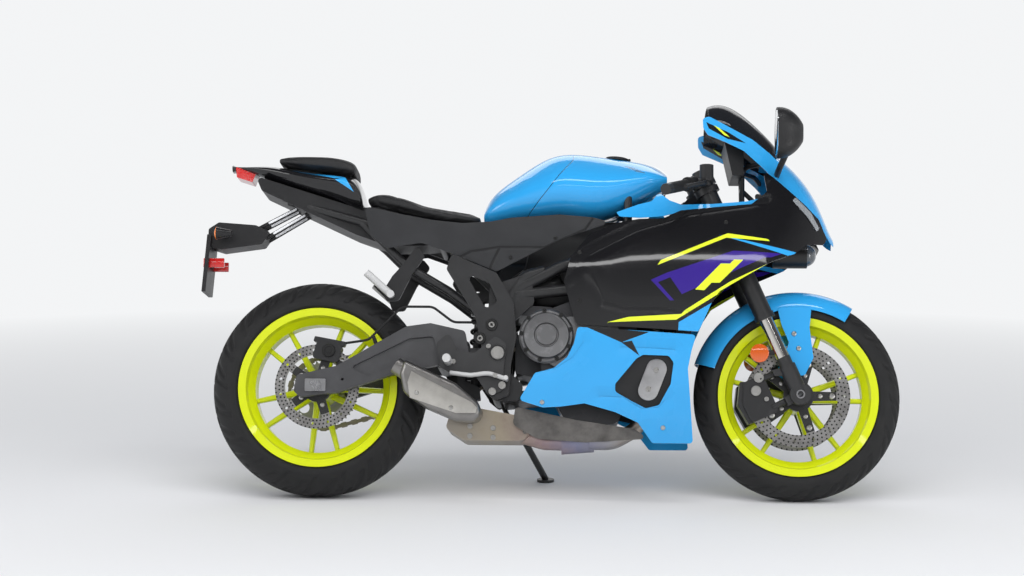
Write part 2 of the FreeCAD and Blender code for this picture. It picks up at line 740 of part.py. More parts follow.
radiatorEarShares = [(1.083, 0.6), (1.045, 0.69)]
radiatorEarSide = 110.0
radiatorHalfWidth = 140.0
tankDepth = 22.0
tankRound = 10.0
radiatorShares = [(1.015, 0.305), (1.045, 0.3), (1.1, 0.62), (1.07, 0.625)]
radiatorTankShares = [(1.01, 0.295), (1.05, 0.29), (1.106, 0.628), (1.066, 0.634)]


def makeExhaustPipes():
    """Two headers that sweep down ahead of the engine, their collector and the chamber under the engine."""
    pipes = []
    for side in (-1, 1):
        points = [spot(trio[:2], side * trio[2] * headerHalfSpacing) for trio in headerShares]
        pipes.append(bentRod(points, headerRadius, headerBend))
    cone = Part.makeCone(collectorRadius, collectorEndRadius, collectorLength, spot(collectorShare), xAxis)
    link = bentRod([spot(pair) for pair in linkShares], linkRadius, headerBend)
    chamber = sidePlate(chamberShares, -chamberHalfWidth, chamberHalfWidth, caseRound)
    head = sidePlate(headShares, -headHalfWidth, headHalfWidth, caseRound)
    return joined(pipes + [cone, link, chamber]).cut(head)


headerShares = [(0.93, 0.655, 1.0), (0.99, 0.62, 1.0), (0.982, 0.4, 1.0), (0.94, 0.215, 0.9), (0.86, 0.168, 0.45),
                (0.79, 0.168, 0.42)]
headerHalfSpacing = 52.0
headerRadius = 20.0
headerBend = 80.0
collectorShare = (0.71, 0.17)
collectorRadius = 38.0
collectorEndRadius = 30.4
collectorLength = 95.0
linkShares = [(0.74, 0.17), (0.66, 0.172), (0.58, 0.195)]
linkRadius = 27.0
chamberShares = [(0.375, 0.2), (0.43, 0.165), (0.6, 0.165), (0.63, 0.2), (0.6, 0.235), (0.46, 0.26), (0.39, 0.25)]
chamberHalfWidth = 88.0


def makeMuffler():
    """Short can on the right side, rounded and slanted, with its outlet at the back."""
    can = sidePlate(mufflerShares, -mufflerInner, -mufflerOuter, caseRound)
    edges = [edge for edge in can.Edges if abs(edge.BoundBox.YMin + mufflerOuter) < tyreFit
             and abs(edge.BoundBox.YMax + mufflerOuter) < tyreFit]
    can = can.makeFillet(mufflerFillet, edges)
    outlet = rod(spot(outletShares[0], -mufflerMid), spot(outletShares[1], -mufflerMid), outletRadius)
    inlet = rod(spot(inletShare, -chamberHalfWidth), spot(inletShare, -mufflerInner - plateBite), linkRadius)
    bore = rod(spot(outletBoreShares[0], -mufflerMid), spot(outletBoreShares[1], -mufflerMid), outletBoreRadius)
    return joined([can, outlet, inlet]).cut(bore)


mufflerInner = 138.0
mufflerOuter = 222.0
mufflerMid = 180.0
mufflerFillet = 16.0
outletShares = [(0.275, 0.345), (0.235, 0.372)]
outletBoreShares = [(0.29, 0.335), (0.2, 0.396)]
outletRadius = 24.0
outletBoreRadius = 20.4
inletShare = (0.455, 0.24)
mufflerShares = [(0.262, 0.385), (0.41, 0.318), (0.477, 0.262), (0.483, 0.228), (0.462, 0.21), (0.41, 0.213),
                 (0.322, 0.25), (0.262, 0.29), (0.25, 0.345)]


def makeHeatShield():
    """Perforated shield over the link pipe and the chamber's right side."""
    inner = sumpHalfWidth + moveClearance
    plate = sidePlate(shieldShares, -inner, -inner - panelWall, caseRound)
    lugs = [rod(spot(share, -chamberHalfWidth), spot(share, -inner), shieldLugRadius) for share in shieldLugShares]
    return joined([plate] + lugs)


shieldShares = [(0.577, 0.262), (0.75, 0.225), (0.92, 0.2), (0.96, 0.172), (0.78, 0.16), (0.64, 0.17), (0.57, 0.21)]
shieldLugShares = [(0.6, 0.22), (0.605, 0.19)]
shieldLugRadius = 6.0


def makeSwingarm():
    """Pair of arched arms with a cross member ahead of the tyre and the pivot tube."""
    right = sidePlate(armShares, -armRightInner, -armRightOuter, armRound)
    left = sidePlate(armShares, armLeftInner, armLeftOuter, armRound)
    pocketR = sidePlate(armPocketShares, -armRightOuter - overrun, -armRightOuter + armPocketDepth, armRound)
    pocketL = sidePlate(armPocketShares, armLeftOuter + overrun, armLeftOuter - armPocketDepth, armRound)
    cross = sidePlate(armCrossShares, -armRightInner - plateBite, armLeftInner + plateBite, armRound)
    window = sidePlate(armWindowShares, -armRightInner / 2, armRightInner / 2, armRound)
    collar = tube(swingPivot - yAxis * (pivotPlateInner - seatGap), swingPivot + yAxis * (pivotPlateInner - seatGap),
                  pivotTubeRadius, pivotBoltRadius + seatGap)
    noses = []
    for side, inner, outer in ((-1, armRightInner, armRightOuter), (1, armLeftInner, armLeftOuter)):
        noses.append(sidePlate(armNoseShares, side * armNoseInner, side * armNoseOuter, armRound))
        noses.append(sidePlate(armStepShares, side * armNoseInner, side * outer, armRound))
    for side in (-1, 1):
        noses.append(sidePlate(shockLinkShares, side * eyeHalfWidth, side * (eyeHalfWidth + plateBite), panelWall))
    arm = joined([right.cut(pocketR), left.cut(pocketL), cross.cut(window), collar] + noses)
    slot = rod(rearAxle - yAxis * (armLeftOuter + overrun), rearAxle + yAxis * (armLeftOuter + overrun),
               rearAxleRadius)
    hole = rod(swingPivot - yAxis * (armLeftOuter + overrun), swingPivot + yAxis * (armLeftOuter + overrun),
               pivotBoltRadius + seatGap)
    spools = [rod(spot(spoolShare, side * (outer - spoolDepth)), spot(spoolShare, side * (outer + overrun)), spoolRadius)
              for side, outer in ((-1, armRightOuter), (1, armLeftOuter))]
    return arm.cut([slot, hole] + spools)


armShares = [(-0.055, 0.347), (0.06, 0.374), (0.13, 0.414), (0.26, 0.49), (0.33, 0.5), (0.43, 0.478), (0.445, 0.4),
             (0.34, 0.375), (0.26, 0.362), (0.163, 0.33), (0.066, 0.298), (-0.045, 0.283), (-0.062, 0.3)]
armPocketShares = [(0.1, 0.37), (0.27, 0.455), (0.34, 0.462), (0.35, 0.41), (0.26, 0.39), (0.15, 0.345)]
armPocketDepth = 7.0
armCrossShares = [(0.345, 0.372), (0.35, 0.43), (0.42, 0.432), (0.43, 0.382)]
armWindowShares = [(0.36, 0.385), (0.365, 0.42), (0.41, 0.422), (0.415, 0.395)]
armNoseShares = [(0.38, 0.432), (0.5, 0.432), (0.552, 0.428), (0.552, 0.394), (0.5, 0.386), (0.38, 0.386)]
armStepShares = [(0.35, 0.431), (0.425, 0.431), (0.43, 0.386), (0.35, 0.372)]
shockLinkShares = [(0.4, 0.4), (0.42, 0.4), (0.424, 0.345), (0.468, 0.326), (0.472, 0.29), (0.44, 0.283), (0.405, 0.33)]
spoolShare = (0.078, 0.335)     # threaded holes for the spools of a paddock stand
spoolDepth = 16.0
spoolRadius = 4.0
armNoseInner = 78.0
armNoseOuter = 102.0
pivotTubeRadius = 24.0
armRound = 12.0


def makeRearAxle():
    """Spindle with its head, nut, spacers and chain adjuster blocks."""
    spindle = rod(rearAxle - yAxis * (armRightOuter + axleProud), rearAxle + yAxis * (armLeftOuter + axleProud),
                  rearAxleRadius)
    discSide = rearDiscPlace + discThickness / 2 + padGap
    sprocketSide = chainPlace + sprocketThickness / 2 + padGap
    parts = [spindle, rod(rearAxle - yAxis * armRightInner, rearAxle - yAxis * discSide, axleSpacerRadius),
             rod(rearAxle + yAxis * sprocketSide, rearAxle + yAxis * armLeftInner, axleSpacerRadius)]
    for side, outer in ((-1, armRightOuter), (1, armLeftOuter)):
        block = sidePlate(adjusterShares, side * outer, side * (outer + adjusterDepth), panelWall)
        parts.append(block)
        nutStart = rearAxle + yAxis * (side * (outer + adjusterDepth))
        parts.append(hexBar(nutStart, yAxis * (side * axleNutHeight), axleNutRadius))
    return joined(parts)


def hexBar(start, along, radius):
    """Six sided bar, used for nuts and bolt heads."""
    corners = []
    for i in range(hexSides):
        angle = math.radians(i * fullTurn / hexSides)
        corners.append(start + polar(angle) * radius)
    return Part.Face(Part.makePolygon(corners + corners[:1])).extrude(along)


hexSides = 6
axleProud = 16.0
adjusterDepth = 4.0
adjusterShares = [(-0.03, 0.3), (-0.03, 0.336), (0.03, 0.336), (0.03, 0.3)]
axleNutHeight = 12.0
axleNutRadius = 17.0


def makeShockAbsorber():
    """Damper body with its spring between the cross member and the frame."""
    low = spot(shockLowShare)
    high = spot(shockHighShare)
    span = (high - low).normalize()
    body = rod(low, high, damperRadius)
    total = (high - low).Length
    seats = [rod(low + span * (total * share), low + span * (total * share + springSeatHeight), springSeatRadius)
             for share in springSeatShares]
    start = low + span * (total * springSeatShares[0] + springSeatHeight)
    end = low + span * (total * springSeatShares[1])
    length = (end - start).Length
    helix = Part.makeHelix(length / springTurns, length, springRadius)
    section = Part.Wire(Part.Circle(FreeCAD.Vector(springRadius, 0, 0), yAxis, springWire).toShape())
    coil = Part.Wire(helix.Edges).makePipeShell([section], True, True)
    coil.Placement = FreeCAD.Placement(start, FreeCAD.Rotation(zAxis, span))
    eyes = [rod(eye - yAxis * eyeHalfWidth, eye + yAxis * eyeHalfWidth, eyeRadius) for eye in (low, high)]
    return joined([body] + seats + eyes + [coil])


shockLowShare = (0.453, 0.3)
shockHighShare = (0.468, 0.59)
damperRadius = 14.0
springSeatShares = [0.16, 0.82]
springSeatHeight = 6.0
springSeatRadius = 25.0
springRadius = 20.0
springWire = 4.5
springTurns = 6
eyeHalfWidth = 14.0
eyeRadius = 16.0


def makeFuelTank():
    """Tank cover, high and broad ahead of the rider and narrow at the seat."""
    body = hullLoft(tankStationShares, tankHalfWidth, *tankFullShares)
    return body.cut(capHole())


tankHalfWidth = 158.0
tankFullShares = (0.42, 0.55)
tankStationShares = [(0.478, 0.36, 0.812, 0.85), (0.5, 0.5, 0.805, 0.893), (0.56, 0.68, 0.812, 0.945),
                     (0.63, 0.84, 0.818, 0.993), (0.7, 0.97, 0.822, 1.022), (0.8, 1.0, 0.815, 1.02),
                     (0.9, 0.93, 0.845, 1.006), (0.98, 0.78, 0.89, 0.986), (1.015, 0.6, 0.91, 0.962)]


def capAxis():
    """Upward axis of the filler, square to the tank's crown."""
    turn = math.radians(capTiltDegrees)
    return FreeCAD.Vector(math.sin(turn), 0, math.cos(turn))


def capHole():
    """Flat seat and filler neck cut into the tank's crown."""
    up = capAxis()
    seat = Part.makeCylinder(capRadius + capMargin, overrun, spot(capShare), up)
    neck = Part.makeCylinder(neckRadius, neckDepth + overrun, spot(capShare) - up * neckDepth, up)
    return seat.fuse(neck)


capShare = (0.87, 1.007)
capTiltDegrees = 5.0
capRadius = 36.0
capMargin = 8.0
capHeight = 8.0
capBevel = 2.0
knuckleHalfWidth = 16.0
knuckleRadius = 4.0
neckRadius = 27.0
neckDepth = 20.0
plugRadius = 19.0
plugDepth = 12.0


def makeFuelCap():
    """Hinged filler lid: flange with a bevelled rim, plug beneath and the hinge's knuckle."""
    up = capAxis()
    base = spot(capShare) + up * seatGap
    lid = Part.makeCylinder(capRadius, capHeight, base, up)
    lid = lid.makeChamfer(capBevel, [lid.Edges[0]])
    plug = Part.makeCylinder(plugRadius, plugDepth, base - up * plugDepth, up)
    hinge = capHinge()
    knuckle = rod(hinge - yAxis * knuckleHalfWidth, hinge + yAxis * knuckleHalfWidth, knuckleRadius)
    return joined([lid, plug, knuckle])


def capHinge():
    """Middle of the lid's hinge pin, at its front edge."""
    up = capAxis()
    return spot(capShare) + up * (capHeight / 2 + seatGap) + up.cross(yAxis) * -capRadius


def makeTankCowls():
    """Body coloured bands that join the tank's front to the fairing, one a side."""
    slab = skinSlab(cowlReachShares, cowlHeightShares, cowlWidthShares, panelWall)
    band = skinPanel(cowlOutlineShares, slab, caseRound / 2)
    fairing = makeUpperFairing()
    pegs = [pinTo(fairing, share, bodyHalfWidth * cowlPegStartShare, stayRadius) for share in cowlPegShares]
    return bothSides(joined([band] + pegs))


cowlPegShares = [(1.085, 0.814), (1.165, 0.822)]
cowlPegStartShare = 0.82
cowlReachShares = (0.82, 0.95, 1.1, 1.33)
cowlHeightShares = (0.78, 0.84, 0.91)
cowlWidthShares = [(0.88, 0.8, 0.74), (0.92, 0.73, 0.6), (0.93, 0.81, 0.7), (0.86, 0.79, 0.7)]
cowlOutlineShares = [(0.865, 0.823), (0.93, 0.85), (0.968, 0.86), (0.99, 0.888), (1.02, 0.862), (1.055, 0.847),
                     (1.145, 0.848), (1.24, 0.856), (1.3, 0.872), (1.25, 0.845), (1.2, 0.806), (1.06, 0.8), (1.04, 0.822),
                     (0.998, 0.81), (0.931, 0.806), (0.875, 0.81)]


def makeRiderSeat():
    return hullLoft(riderSeatShares, seatHalfWidth, *riderFullShares)


seatHalfWidth = 130.0
riderFullShares = (0.45, 0.6)
riderSeatShares = [(0.13, 0.7, 0.862, 0.885), (0.17, 0.82, 0.853, 0.892), (0.24, 0.95, 0.834, 0.875),
                   (0.31, 1.0, 0.818, 0.85), (0.39, 0.9, 0.806, 0.838), (0.45, 0.68, 0.802, 0.835),
                   (0.472, 0.5, 0.808, 0.836)]


def makePillionSeat():
    pad = hullLoft(pillionShares, seatHalfWidth, *pillionFullShares)
    tail = makeTailCowl()
    tail.translate(zAxis * seatGap)
    return largest(pad.cut(tail))


pillionFullShares = (0.4, 0.6)
pillionShares = [(-0.14, 0.42, 0.985, 1.006), (-0.06, 0.62, 0.972, 1.007), (0.03, 0.75, 0.958, 1.002),
                 (0.085, 0.76, 0.948, 0.988), (0.1, 0.7, 0.945, 0.968)]


def makeTailCowl():
    """Pointed tail that carries the pillion seat, hollow beneath."""
    return hullLoft(tailShares, tailHalfWidth, *tailFullShares)


tailHalfWidth = 122.0
tailFullShares = (0.6, 0.6)
tailShares = [(-0.278, 0.2, 0.968, 0.99), (-0.2, 0.45, 0.953, 0.984), (-0.1, 0.72, 0.915, 0.974),
              (0.0, 0.9, 0.885, 0.96), (0.1, 1.0, 0.845, 0.941), (0.125, 0.98, 0.84, 0.86)]


def makeUndertail():
    """Dark tray below the tail, with the battery box and the rear inner fender."""
    bed = [(reach, foot - seatBedDrop / bodyHeight) for reach, half, foot, crown in riderSeatShares[1:-2]]
    tray = sidePlate(undertailShares + bed, -undertailHalfWidth, undertailHalfWidth, armRound)
    return largest(tray.cut(makeTailCowl()).cut(makeSubframe()))


undertailHalfWidth = 74.0
seatBedDrop = 2.2        # leaves a slight gap below the seat's rounded underside
undertailShares = [(0.4, 0.74), (0.2, 0.735), (0.1, 0.77), (-0.05, 0.84), (-0.18, 0.9), (-0.2, 0.945), (-0.05, 0.895),
                   (0.1, 0.85)]


def makeTailLight():
    body = sidePlate(tailLightShares, -tailLightHalfWidth, tailLightHalfWidth, panelWall)
    return largest(body.cut(makeTailCowl()))


tailLightHalfWidth = 34.0
tailLightShares = [(-0.266, 0.98), (-0.262, 0.948), (-0.215, 0.933), (-0.205, 0.96)]


def makePlateHolder():
    """Arm below the tail with its lamp housing and the blank number board."""
    arms = []
    for side in (-1, 1):
        for shares in plateStrutShares:
            points = [spot(pair, side * strutSide) for pair in shares]
            arms.append(rod(points[0], points[1], strutRadius))
    housing = sidePlate(plateHousingShares, -housingHalfWidth, housingHalfWidth, tankRound)
    board = sidePlate(plateBoardShares, -boardHalfWidth, boardHalfWidth)
    return largest(joined(arms + [housing, board]).cut(makeUndertail()))


strutSide = 26.0
strutRadius = 6.0
housingHalfWidth = 42.0
boardHalfWidth = 62.0
plateStrutShares = [[(-0.2, 0.79), (-0.06, 0.865)], [(-0.17, 0.765), (-0.03, 0.85)]]
plateHousingShares = [(-0.34, 0.79), (-0.31, 0.81), (-0.2, 0.802), (-0.155, 0.782), (-0.18, 0.745), (-0.3, 0.728),
                      (-0.34, 0.74)]
plateBoardShares = [(-0.352, 0.6), (-0.34, 0.77), (-0.328, 0.77), (-0.34, 0.6)]


def makeRearIndicators():
    """Tapered lamps on short stems, one a side."""
    lamps = []
    housing = sidePlate(plateHousingShares, -housingHalfWidth, housingHalfWidth, tankRound)
    for side in (-1, 1):
        centre = spot(indicatorShare, side * indicatorSide)
        stem = rod(spot(indicatorShare, side * housingHalfWidth), centre, strutRadius)
        lamp = Part.makeCone(indicatorRadius, indicatorTipRadius, indicatorDepth, centre - xAxis * (indicatorDepth / 2),
                             xAxis)
        lens = Part.makeSphere(indicatorLensRadius, centre + xAxis * indicatorLensSet)
        lens = lens.common(Part.makeCylinder(indicatorRadius, overrun, centre - xAxis * indicatorDepth / 2, -xAxis))
        lamps.append(joined([stem, lamp, lens]).cut(housing))
    return Part.makeCompound(lamps)


indicatorShare = (-0.285, 0.768)
indicatorSide = 92.0
indicatorRadius = 19.0
indicatorTipRadius = 9.0
indicatorDepth = 46.0
indicatorLensRadius = 30.0
indicatorLensSet = 1.0


def makeSideCovers():
    """Matt covers below the seat and tank, one a side."""
    slab = skinSlab(coverReachShares, coverHeightShares, coverWidthShares, panelWall)
    cover = skinPanel(coverOutlineShares, slab, caseRound / 2)
    pegs = [pinTo(cover, share, subframeHalfWidth, stayRadius) for share in sidePegShares]
    return bothSides(largest(joined([cover] + pegs).cut([makeSubframe(), makePivotCovers()])))


sidePegShares = [(0.4, 0.72), (0.24, 0.772)]
coverReachShares = (0.05, 0.2, 0.4, 0.6, 0.9)
coverHeightShares = (0.62, 0.72, 0.8, 0.88)
coverWidthShares = [(0.5, 0.58, 0.6, 0.58), (0.56, 0.64, 0.66, 0.62), (0.62, 0.7, 0.68, 0.6),
                    (0.74, 0.78, 0.76, 0.7), (0.86, 0.88, 0.86, 0.8)]
coverOutlineShares = [(0.13, 0.845), (0.24, 0.82), (0.33, 0.803), (0.42, 0.793), (0.5, 0.797), (0.56, 0.808),
                      (0.7, 0.815), (0.8, 0.805), (0.85, 0.79), (0.76, 0.76), (0.7, 0.74), (0.62, 0.7),
                      (0.52, 0.65), (0.4, 0.7), (0.3, 0.735), (0.2, 0.72), (0.15, 0.76)]


def makePivotCovers():
    """Cast side brackets over the swingarm pivot, one a side."""
    plate = sidePlate(pivotCoverShares, -pivotCoverInner, -pivotCoverOuter, armRound)
    window = sidePlate(pivotWindowShares, -pivotCoverInner + overrun, -pivotCoverOuter - overrun, armRound)
    boss = rod(swingPivot - yAxis * pivotCoverInner, swingPivot - yAxis * (pivotCoverOuter + restWall),
               pivotTubeRadius)
    pegs = [rod(spot(share, -pivotPlateInner), spot(share, -pivotCoverInner), pegRadius) for share in coverPegShares]
    return bothSides(largest(joined([plate.cut(window), boss] + pegs).cut(frameBars())))


coverPegShares = [(0.53, 0.47), (0.527, 0.32), (0.545, 0.585)]
pivotCoverInner = 145.0
pivotCoverOuter = 153.0
pivotCoverShares = [(0.375, 0.655), (0.39, 0.7), (0.52, 0.645), (0.57, 0.56), (0.58, 0.46), (0.565, 0.38),
                    (0.56, 0.29), (0.52, 0.275), (0.49, 0.3), (0.485, 0.4), (0.46, 0.52)]
pivotWindowShares = [(0.43, 0.645), (0.5, 0.615), (0.525, 0.56), (0.49, 0.54)]


def makeUpperFairing():
    slab = skinSlab(upperReachShares, upperHeightShares, upperWidthShares, panelWall)
    panel = skinPanel(upperOutlineShares, slab, tankRound)
    pegs = [pinTo(panel, share, frameHalfWidth, stayRadius) for share in upperPegShares]
    return largest(joined([panel] + pegs).cut(frameBars()))


upperPegShares = [(0.82, 0.61), (0.95, 0.628)]
upperReachShares = (0.68, 0.85, 1.05, 1.2, 1.35, 1.44, 1.52)
upperHeightShares = (0.44, 0.56, 0.68, 0.8, 0.97)
upperWidthShares = [(0.91, 0.93, 0.92, 0.86, 0.76), (0.94, 0.98, 0.98, 0.92, 0.8),
                    (0.95, 1.0, 1.0, 0.95, 0.82), (0.92, 0.97, 0.97, 0.92, 0.8),
                    (0.8, 0.84, 0.84, 0.8, 0.71), (0.6, 0.63, 0.63, 0.6, 0.53), (0.34, 0.36, 0.36, 0.34, 0.3)]
upperOutlineShares = [(0.75, 0.492), (1.1, 0.472), (1.136, 0.552), (1.16, 0.588), (1.229, 0.63), (1.306, 0.675),
                      (1.377, 0.703), (1.42, 0.735), (1.468, 0.738), (1.478, 0.758), (1.455, 0.812), (1.415, 0.85),
                      (1.368, 0.89), (1.322, 0.927), (1.29, 0.95), (1.3, 0.885), (1.255, 0.846), (1.145, 0.834),
                      (1.05, 0.824), (1.0, 0.8), (0.93, 0.798), (0.86, 0.785), (0.79, 0.755), (0.735, 0.69),
                      (0.715, 0.616)]


def makeLowerFairing():
    slab = skinSlab(lowerReachShares, lowerHeightShares, lowerWidthShares, panelWall)
    panel = skinPanel(lowerOutlineShares, slab, tankRound)
    hole = sidePlate(lowerHoleShares, -bodyHalfWidth - overrun, 0.0, caseRound / 2)
    peg = pinTo(panel, lowerPegShare, radiatorHalfWidth + tankDepth, stayRadius)
    lug = pinTo(panel, lowerLugShare, crankcaseHalfWidth, stayRadius)
    return joined([panel.cut(hole), peg, lug])


lowerPegShare = (1.053, 0.43)
lowerLugShare = (0.8, 0.299)


lowerReachShares = (0.56, 0.7, 0.85, 1.0, 1.12)
lowerHeightShares = (0.13, 0.22, 0.32, 0.42, 0.52)
lowerWidthShares = [(0.6, 0.72, 0.8, 0.84, 0.86), (0.62, 0.76, 0.85, 0.9, 0.92), (0.62, 0.78, 0.88, 0.93, 0.96),
                    (0.62, 0.78, 0.88, 0.93, 0.95), (0.6, 0.74, 0.84, 0.9, 0.92)]
lowerOutlineShares = [(0.755, 0.484), (1.094, 0.464), (1.08, 0.417), (1.07, 0.367), (1.086, 0.157), (0.97, 0.157),
                      (0.928, 0.214), (0.863, 0.243), (0.776, 0.267), (0.711, 0.258), (0.657, 0.255), (0.588, 0.276),
                      (0.634, 0.353), (0.688, 0.367), (0.726, 0.398), (0.745, 0.437)]
lowerHoleShares = [(0.923, 0.394), (0.942, 0.405), (1.015, 0.403), (1.029, 0.384), (1.021, 0.323), (0.988, 0.263),
                   (0.95, 0.254), (0.912, 0.273), (0.863, 0.3), (0.863, 0.322)]


def makeNoseCowl():
    """Pointed nose with a wing back along each side of the windscreen."""
    nose = archShell(noseShares, bodyHalfWidth, panelWall, noseFullShare)
    slab = skinSlab(wingReachShares, wingHeightShares, wingWidthShares, panelWall)
    wing = skinPanel(wingOutlineShares, slab, tankRound)
    return joined([nose, wing, mirrored(wing)])


noseFullShare = 0.62
noseShares = [(1.3, 0.72, 0.95, 1.03), (1.34, 0.69, 0.905, 1.018), (1.4, 0.59, 0.862, 0.965),
              (1.45, 0.44, 0.815, 0.895), (1.485, 0.29, 0.765, 0.815), (1.505, 0.17, 0.745, 0.772)]
wingReachShares = (1.1, 1.2, 1.3, 1.38)
wingHeightShares = (0.9, 1.0, 1.12)
wingWidthShares = [(0.8, 0.74, 0.62), (0.78, 0.72, 0.6), (0.76, 0.68, 0.52), (0.68, 0.6, 0.42)]
wingOutlineShares = [(1.33, 0.915), (1.292, 0.957), (1.266, 0.981), (1.236, 1.01), (1.186, 1.035), (1.132, 1.058),
                     (1.119, 1.08), (1.118, 1.11), (1.137, 1.116), (1.201, 1.081), (1.263, 1.045), (1.31, 1.005),
                     (1.34, 0.975)]


def makeWindscreen():
    return largest(archShell(screenShares, bodyHalfWidth, panelWall, screenFullShare).cut(makeNoseCowl()))


screenFullShare = 0.68
screenShares = [(1.135, 0.65, 1.085, 1.165), (1.19, 0.64, 1.06, 1.172), (1.24, 0.61, 1.03, 1.145),
                (1.3, 0.55, 0.995, 1.09), (1.335, 0.48, 0.97, 1.052)]


def makeHeadlight():
    """Projector lamp in the mouth under the nose."""
    barrel = rod(spot(lampShares[0]), spot(lampShares[1]), lampRadius)
    lens = Part.makeSphere(lampLensRadius, spot(lampShares[2]))
    return joined([barrel, lens])


lampShares = [(1.33, 0.725), (1.43, 0.725), (1.425, 0.725)]
lampRadius = 38.0
lampLensRadius = 32.7


def makeRunningLights():
    slab = skinSlab(upperReachShares, upperHeightShares, upperWidthShares, panelWall)
    slab.translate(yAxis * -(panelWall + seatGap))
    return bothSides(skinPanel(runningShares, slab, panelWall))


runningShares = [(1.375, 0.862), (1.385, 0.872), (1.43, 0.83), (1.455, 0.785), (1.447, 0.776), (1.42, 0.815)]


def makeInstrumentPanel():
    """Display pod ahead of the handlebars."""
    face = sidePlate(dashShares, -dashHalfWidth, dashHalfWidth, panelWall)
    return face


dashHalfWidth = 78.0
dashShares = [(1.207, 0.95), (1.185, 1.05), (1.203, 1.058), (1.24, 1.025), (1.24, 0.95)]


def makeFairingStay():
    """Bracket from the head tube that carries the nose, dash and mirrors."""
    bars = []
    for side in (-1, 1):
        points = [spot(trio[:2], side * trio[2] * stayHalfWidth) for trio in stayShares]
        bars.append(bentRod(points, stayRadius, frameBend / 2))
    reach = stayHalfWidth * stayCrossWidthShare
    bars.append(rod(spot(stayCrossShare, -reach), spot(stayCrossShare, reach), stayRadius))
    bars.append(bentRod([spot(pair) for pair in lampStayShares], stayRadius, frameBend / 2))
    solidHead = rod(forkSpot(lowerYokePlace, -forkOffset), forkSpot(upperYokePlace, -forkOffset), headTubeRadius)
    return largest(joined(bars).cut([makeNoseCowl(), solidHead, makeHeadlight(), makeInstrumentPanel()]))


stayHalfWidth = 112.0
stayRadius = 7.0
stayCrossShare = (1.2398, 0.92)
stayCrossWidthShare = 0.2
lampStayShares = [(1.2398, 0.92), (1.3, 0.862), (1.352, 0.752)]
stayShares = [(1.13, 0.8, 0.08), (1.24, 0.865, 0.12), (1.2395, 0.98, 0.3), (1.285, 0.98, 0.85), (1.318, 0.96, 1.4)]


def makeMirrors():
    """Mirror heads on slim stems, one a side."""
    centre = spot(mirrorShare, mirrorSide)
    wires = []
    for share, sizeShare in mirrorLoftShares:
        points = []
        for across, up in mirrorRingShares:
            points.append(centre + FreeCAD.Vector(share * mirrorDepth, across * mirrorHalfWidth * sizeShare,
                                                  up * mirrorHalfHeight * sizeShare))
        curve = Part.BSplineCurve()
        curve.interpolate(points, PeriodicFlag=True)
        wires.append(Part.Wire(curve.toShape()))
    head = Part.makeLoft(wires, True)
    joint = centre + FreeCAD.Vector(mirrorDepth, -mirrorHalfWidth, -mirrorHalfHeight) * mirrorJointShare
    stem = bentRod([spot(mirrorFootShare, mirrorFootSide), spot(mirrorBendShare, mirrorBendSide), joint],
                   mirrorStemRadius, frameBend / 2)
    return bothSides(largest(joined([head, stem]).cut(makeNoseCowl()).cut(makeWindscreen())))


mirrorShare = (1.318, 1.03)
mirrorSide = 282.0
mirrorDepth = 74.0
mirrorHalfWidth = 60.0
mirrorHalfHeight = 72.0
mirrorJointShare = 0.5
mirrorFootShare = (1.33, 0.935)
mirrorFootSide = 118.0
mirrorBendShare = (1.335, 0.95)
mirrorBendSide = 200.0
mirrorStemRadius = 9.0
mirrorLoftShares = [(0.0, 1.0), (0.3, 0.98), (0.7, 0.75), (1.0, 0.35)]
mirrorRingShares = [(1.0, 0.1), (0.7, 0.85), (-0.6, 0.9), (-1.0, 0.2), (-0.85, -0.75), (0.75, -0.8)]


def makeRearset(side):
    """Footrest plate with its peg, and the pedal on the same side."""
    plate = sidePlate(restPlateShares, side * restInner, side * (restInner + restWall), armRound)
    plate = plate.cut(rod(swingPivot, swingPivot + yAxis * (side * (restInner + overrun)), pivotTubeRadius + seatGap))
    peg = rod(spot(pegShare, side * restInner), spot(pegShare, side * pegEnd), pegRadius)
    heel = sidePlate(heelShares, side * restInner, side * (restInner + panelWall), armRound)
    pedal = bentRod([spot(pair, side * (restInner + restWall + pedalRadius)) for pair in pedalShares], pedalRadius,
                    frameBend)
    toe = rod(spot(pedalShares[-1], side * restInner), spot(pedalShares[-1], side * (restInner + toeLength)), pedalRadius)
    return joined([plate, peg, heel, pedal, toe])


restInner = 153.0
restWall = 8.0
pegEnd = 252.0
pegRadius = 12.0
pedalRadius = 6.5
toeLength = 55.0
pegShare = (0.385, 0.385)
restPlateShares = [(0.36, 0.4), (0.385, 0.42), (0.46, 0.41), (0.52, 0.46), (0.55, 0.44), (0.54, 0.3), (0.5, 0.29),
                   (0.46, 0.35), (0.385, 0.355), (0.36, 0.37)]
heelShares = [(0.36, 0.37), (0.35, 0.44), (0.385, 0.47), (0.41, 0.42), (0.41, 0.36)]
pedalShares = [(0.39, 0.352), (0.45, 0.345), (0.5, 0.352), (0.552, 0.335)]


def makePassengerHangers():
    """Brackets with folding pegs for the passenger, one a side."""
    plate = sidePlate(hangerShares, -hangerInner, -hangerInner - restWall, armRound)
    side = -hangerInner - restWall - passengerPegRadius
    peg = rod(spot(passengerPegShares[0], side + plateBite), spot(passengerPegShares[1], side), passengerPegRadius)
    hinge = rod(spot(passengerPegShares[0], -hangerInner - plateBite), spot(passengerPegShares[0], side
                - passengerPegRadius), passengerPegRadius)
    return bothSides(joined([plate, peg, hinge]))


hangerInner = 104.4
passengerPegRadius = 11.0
passengerPegShares = [(0.212, 0.585), (0.14, 0.648)]
hangerShares = [(0.285, 0.73), (0.31, 0.7), (0.27, 0.64), (0.235, 0.568), (0.198, 0.565), (0.188, 0.595),
                (0.215, 0.64), (0.25, 0.68)]


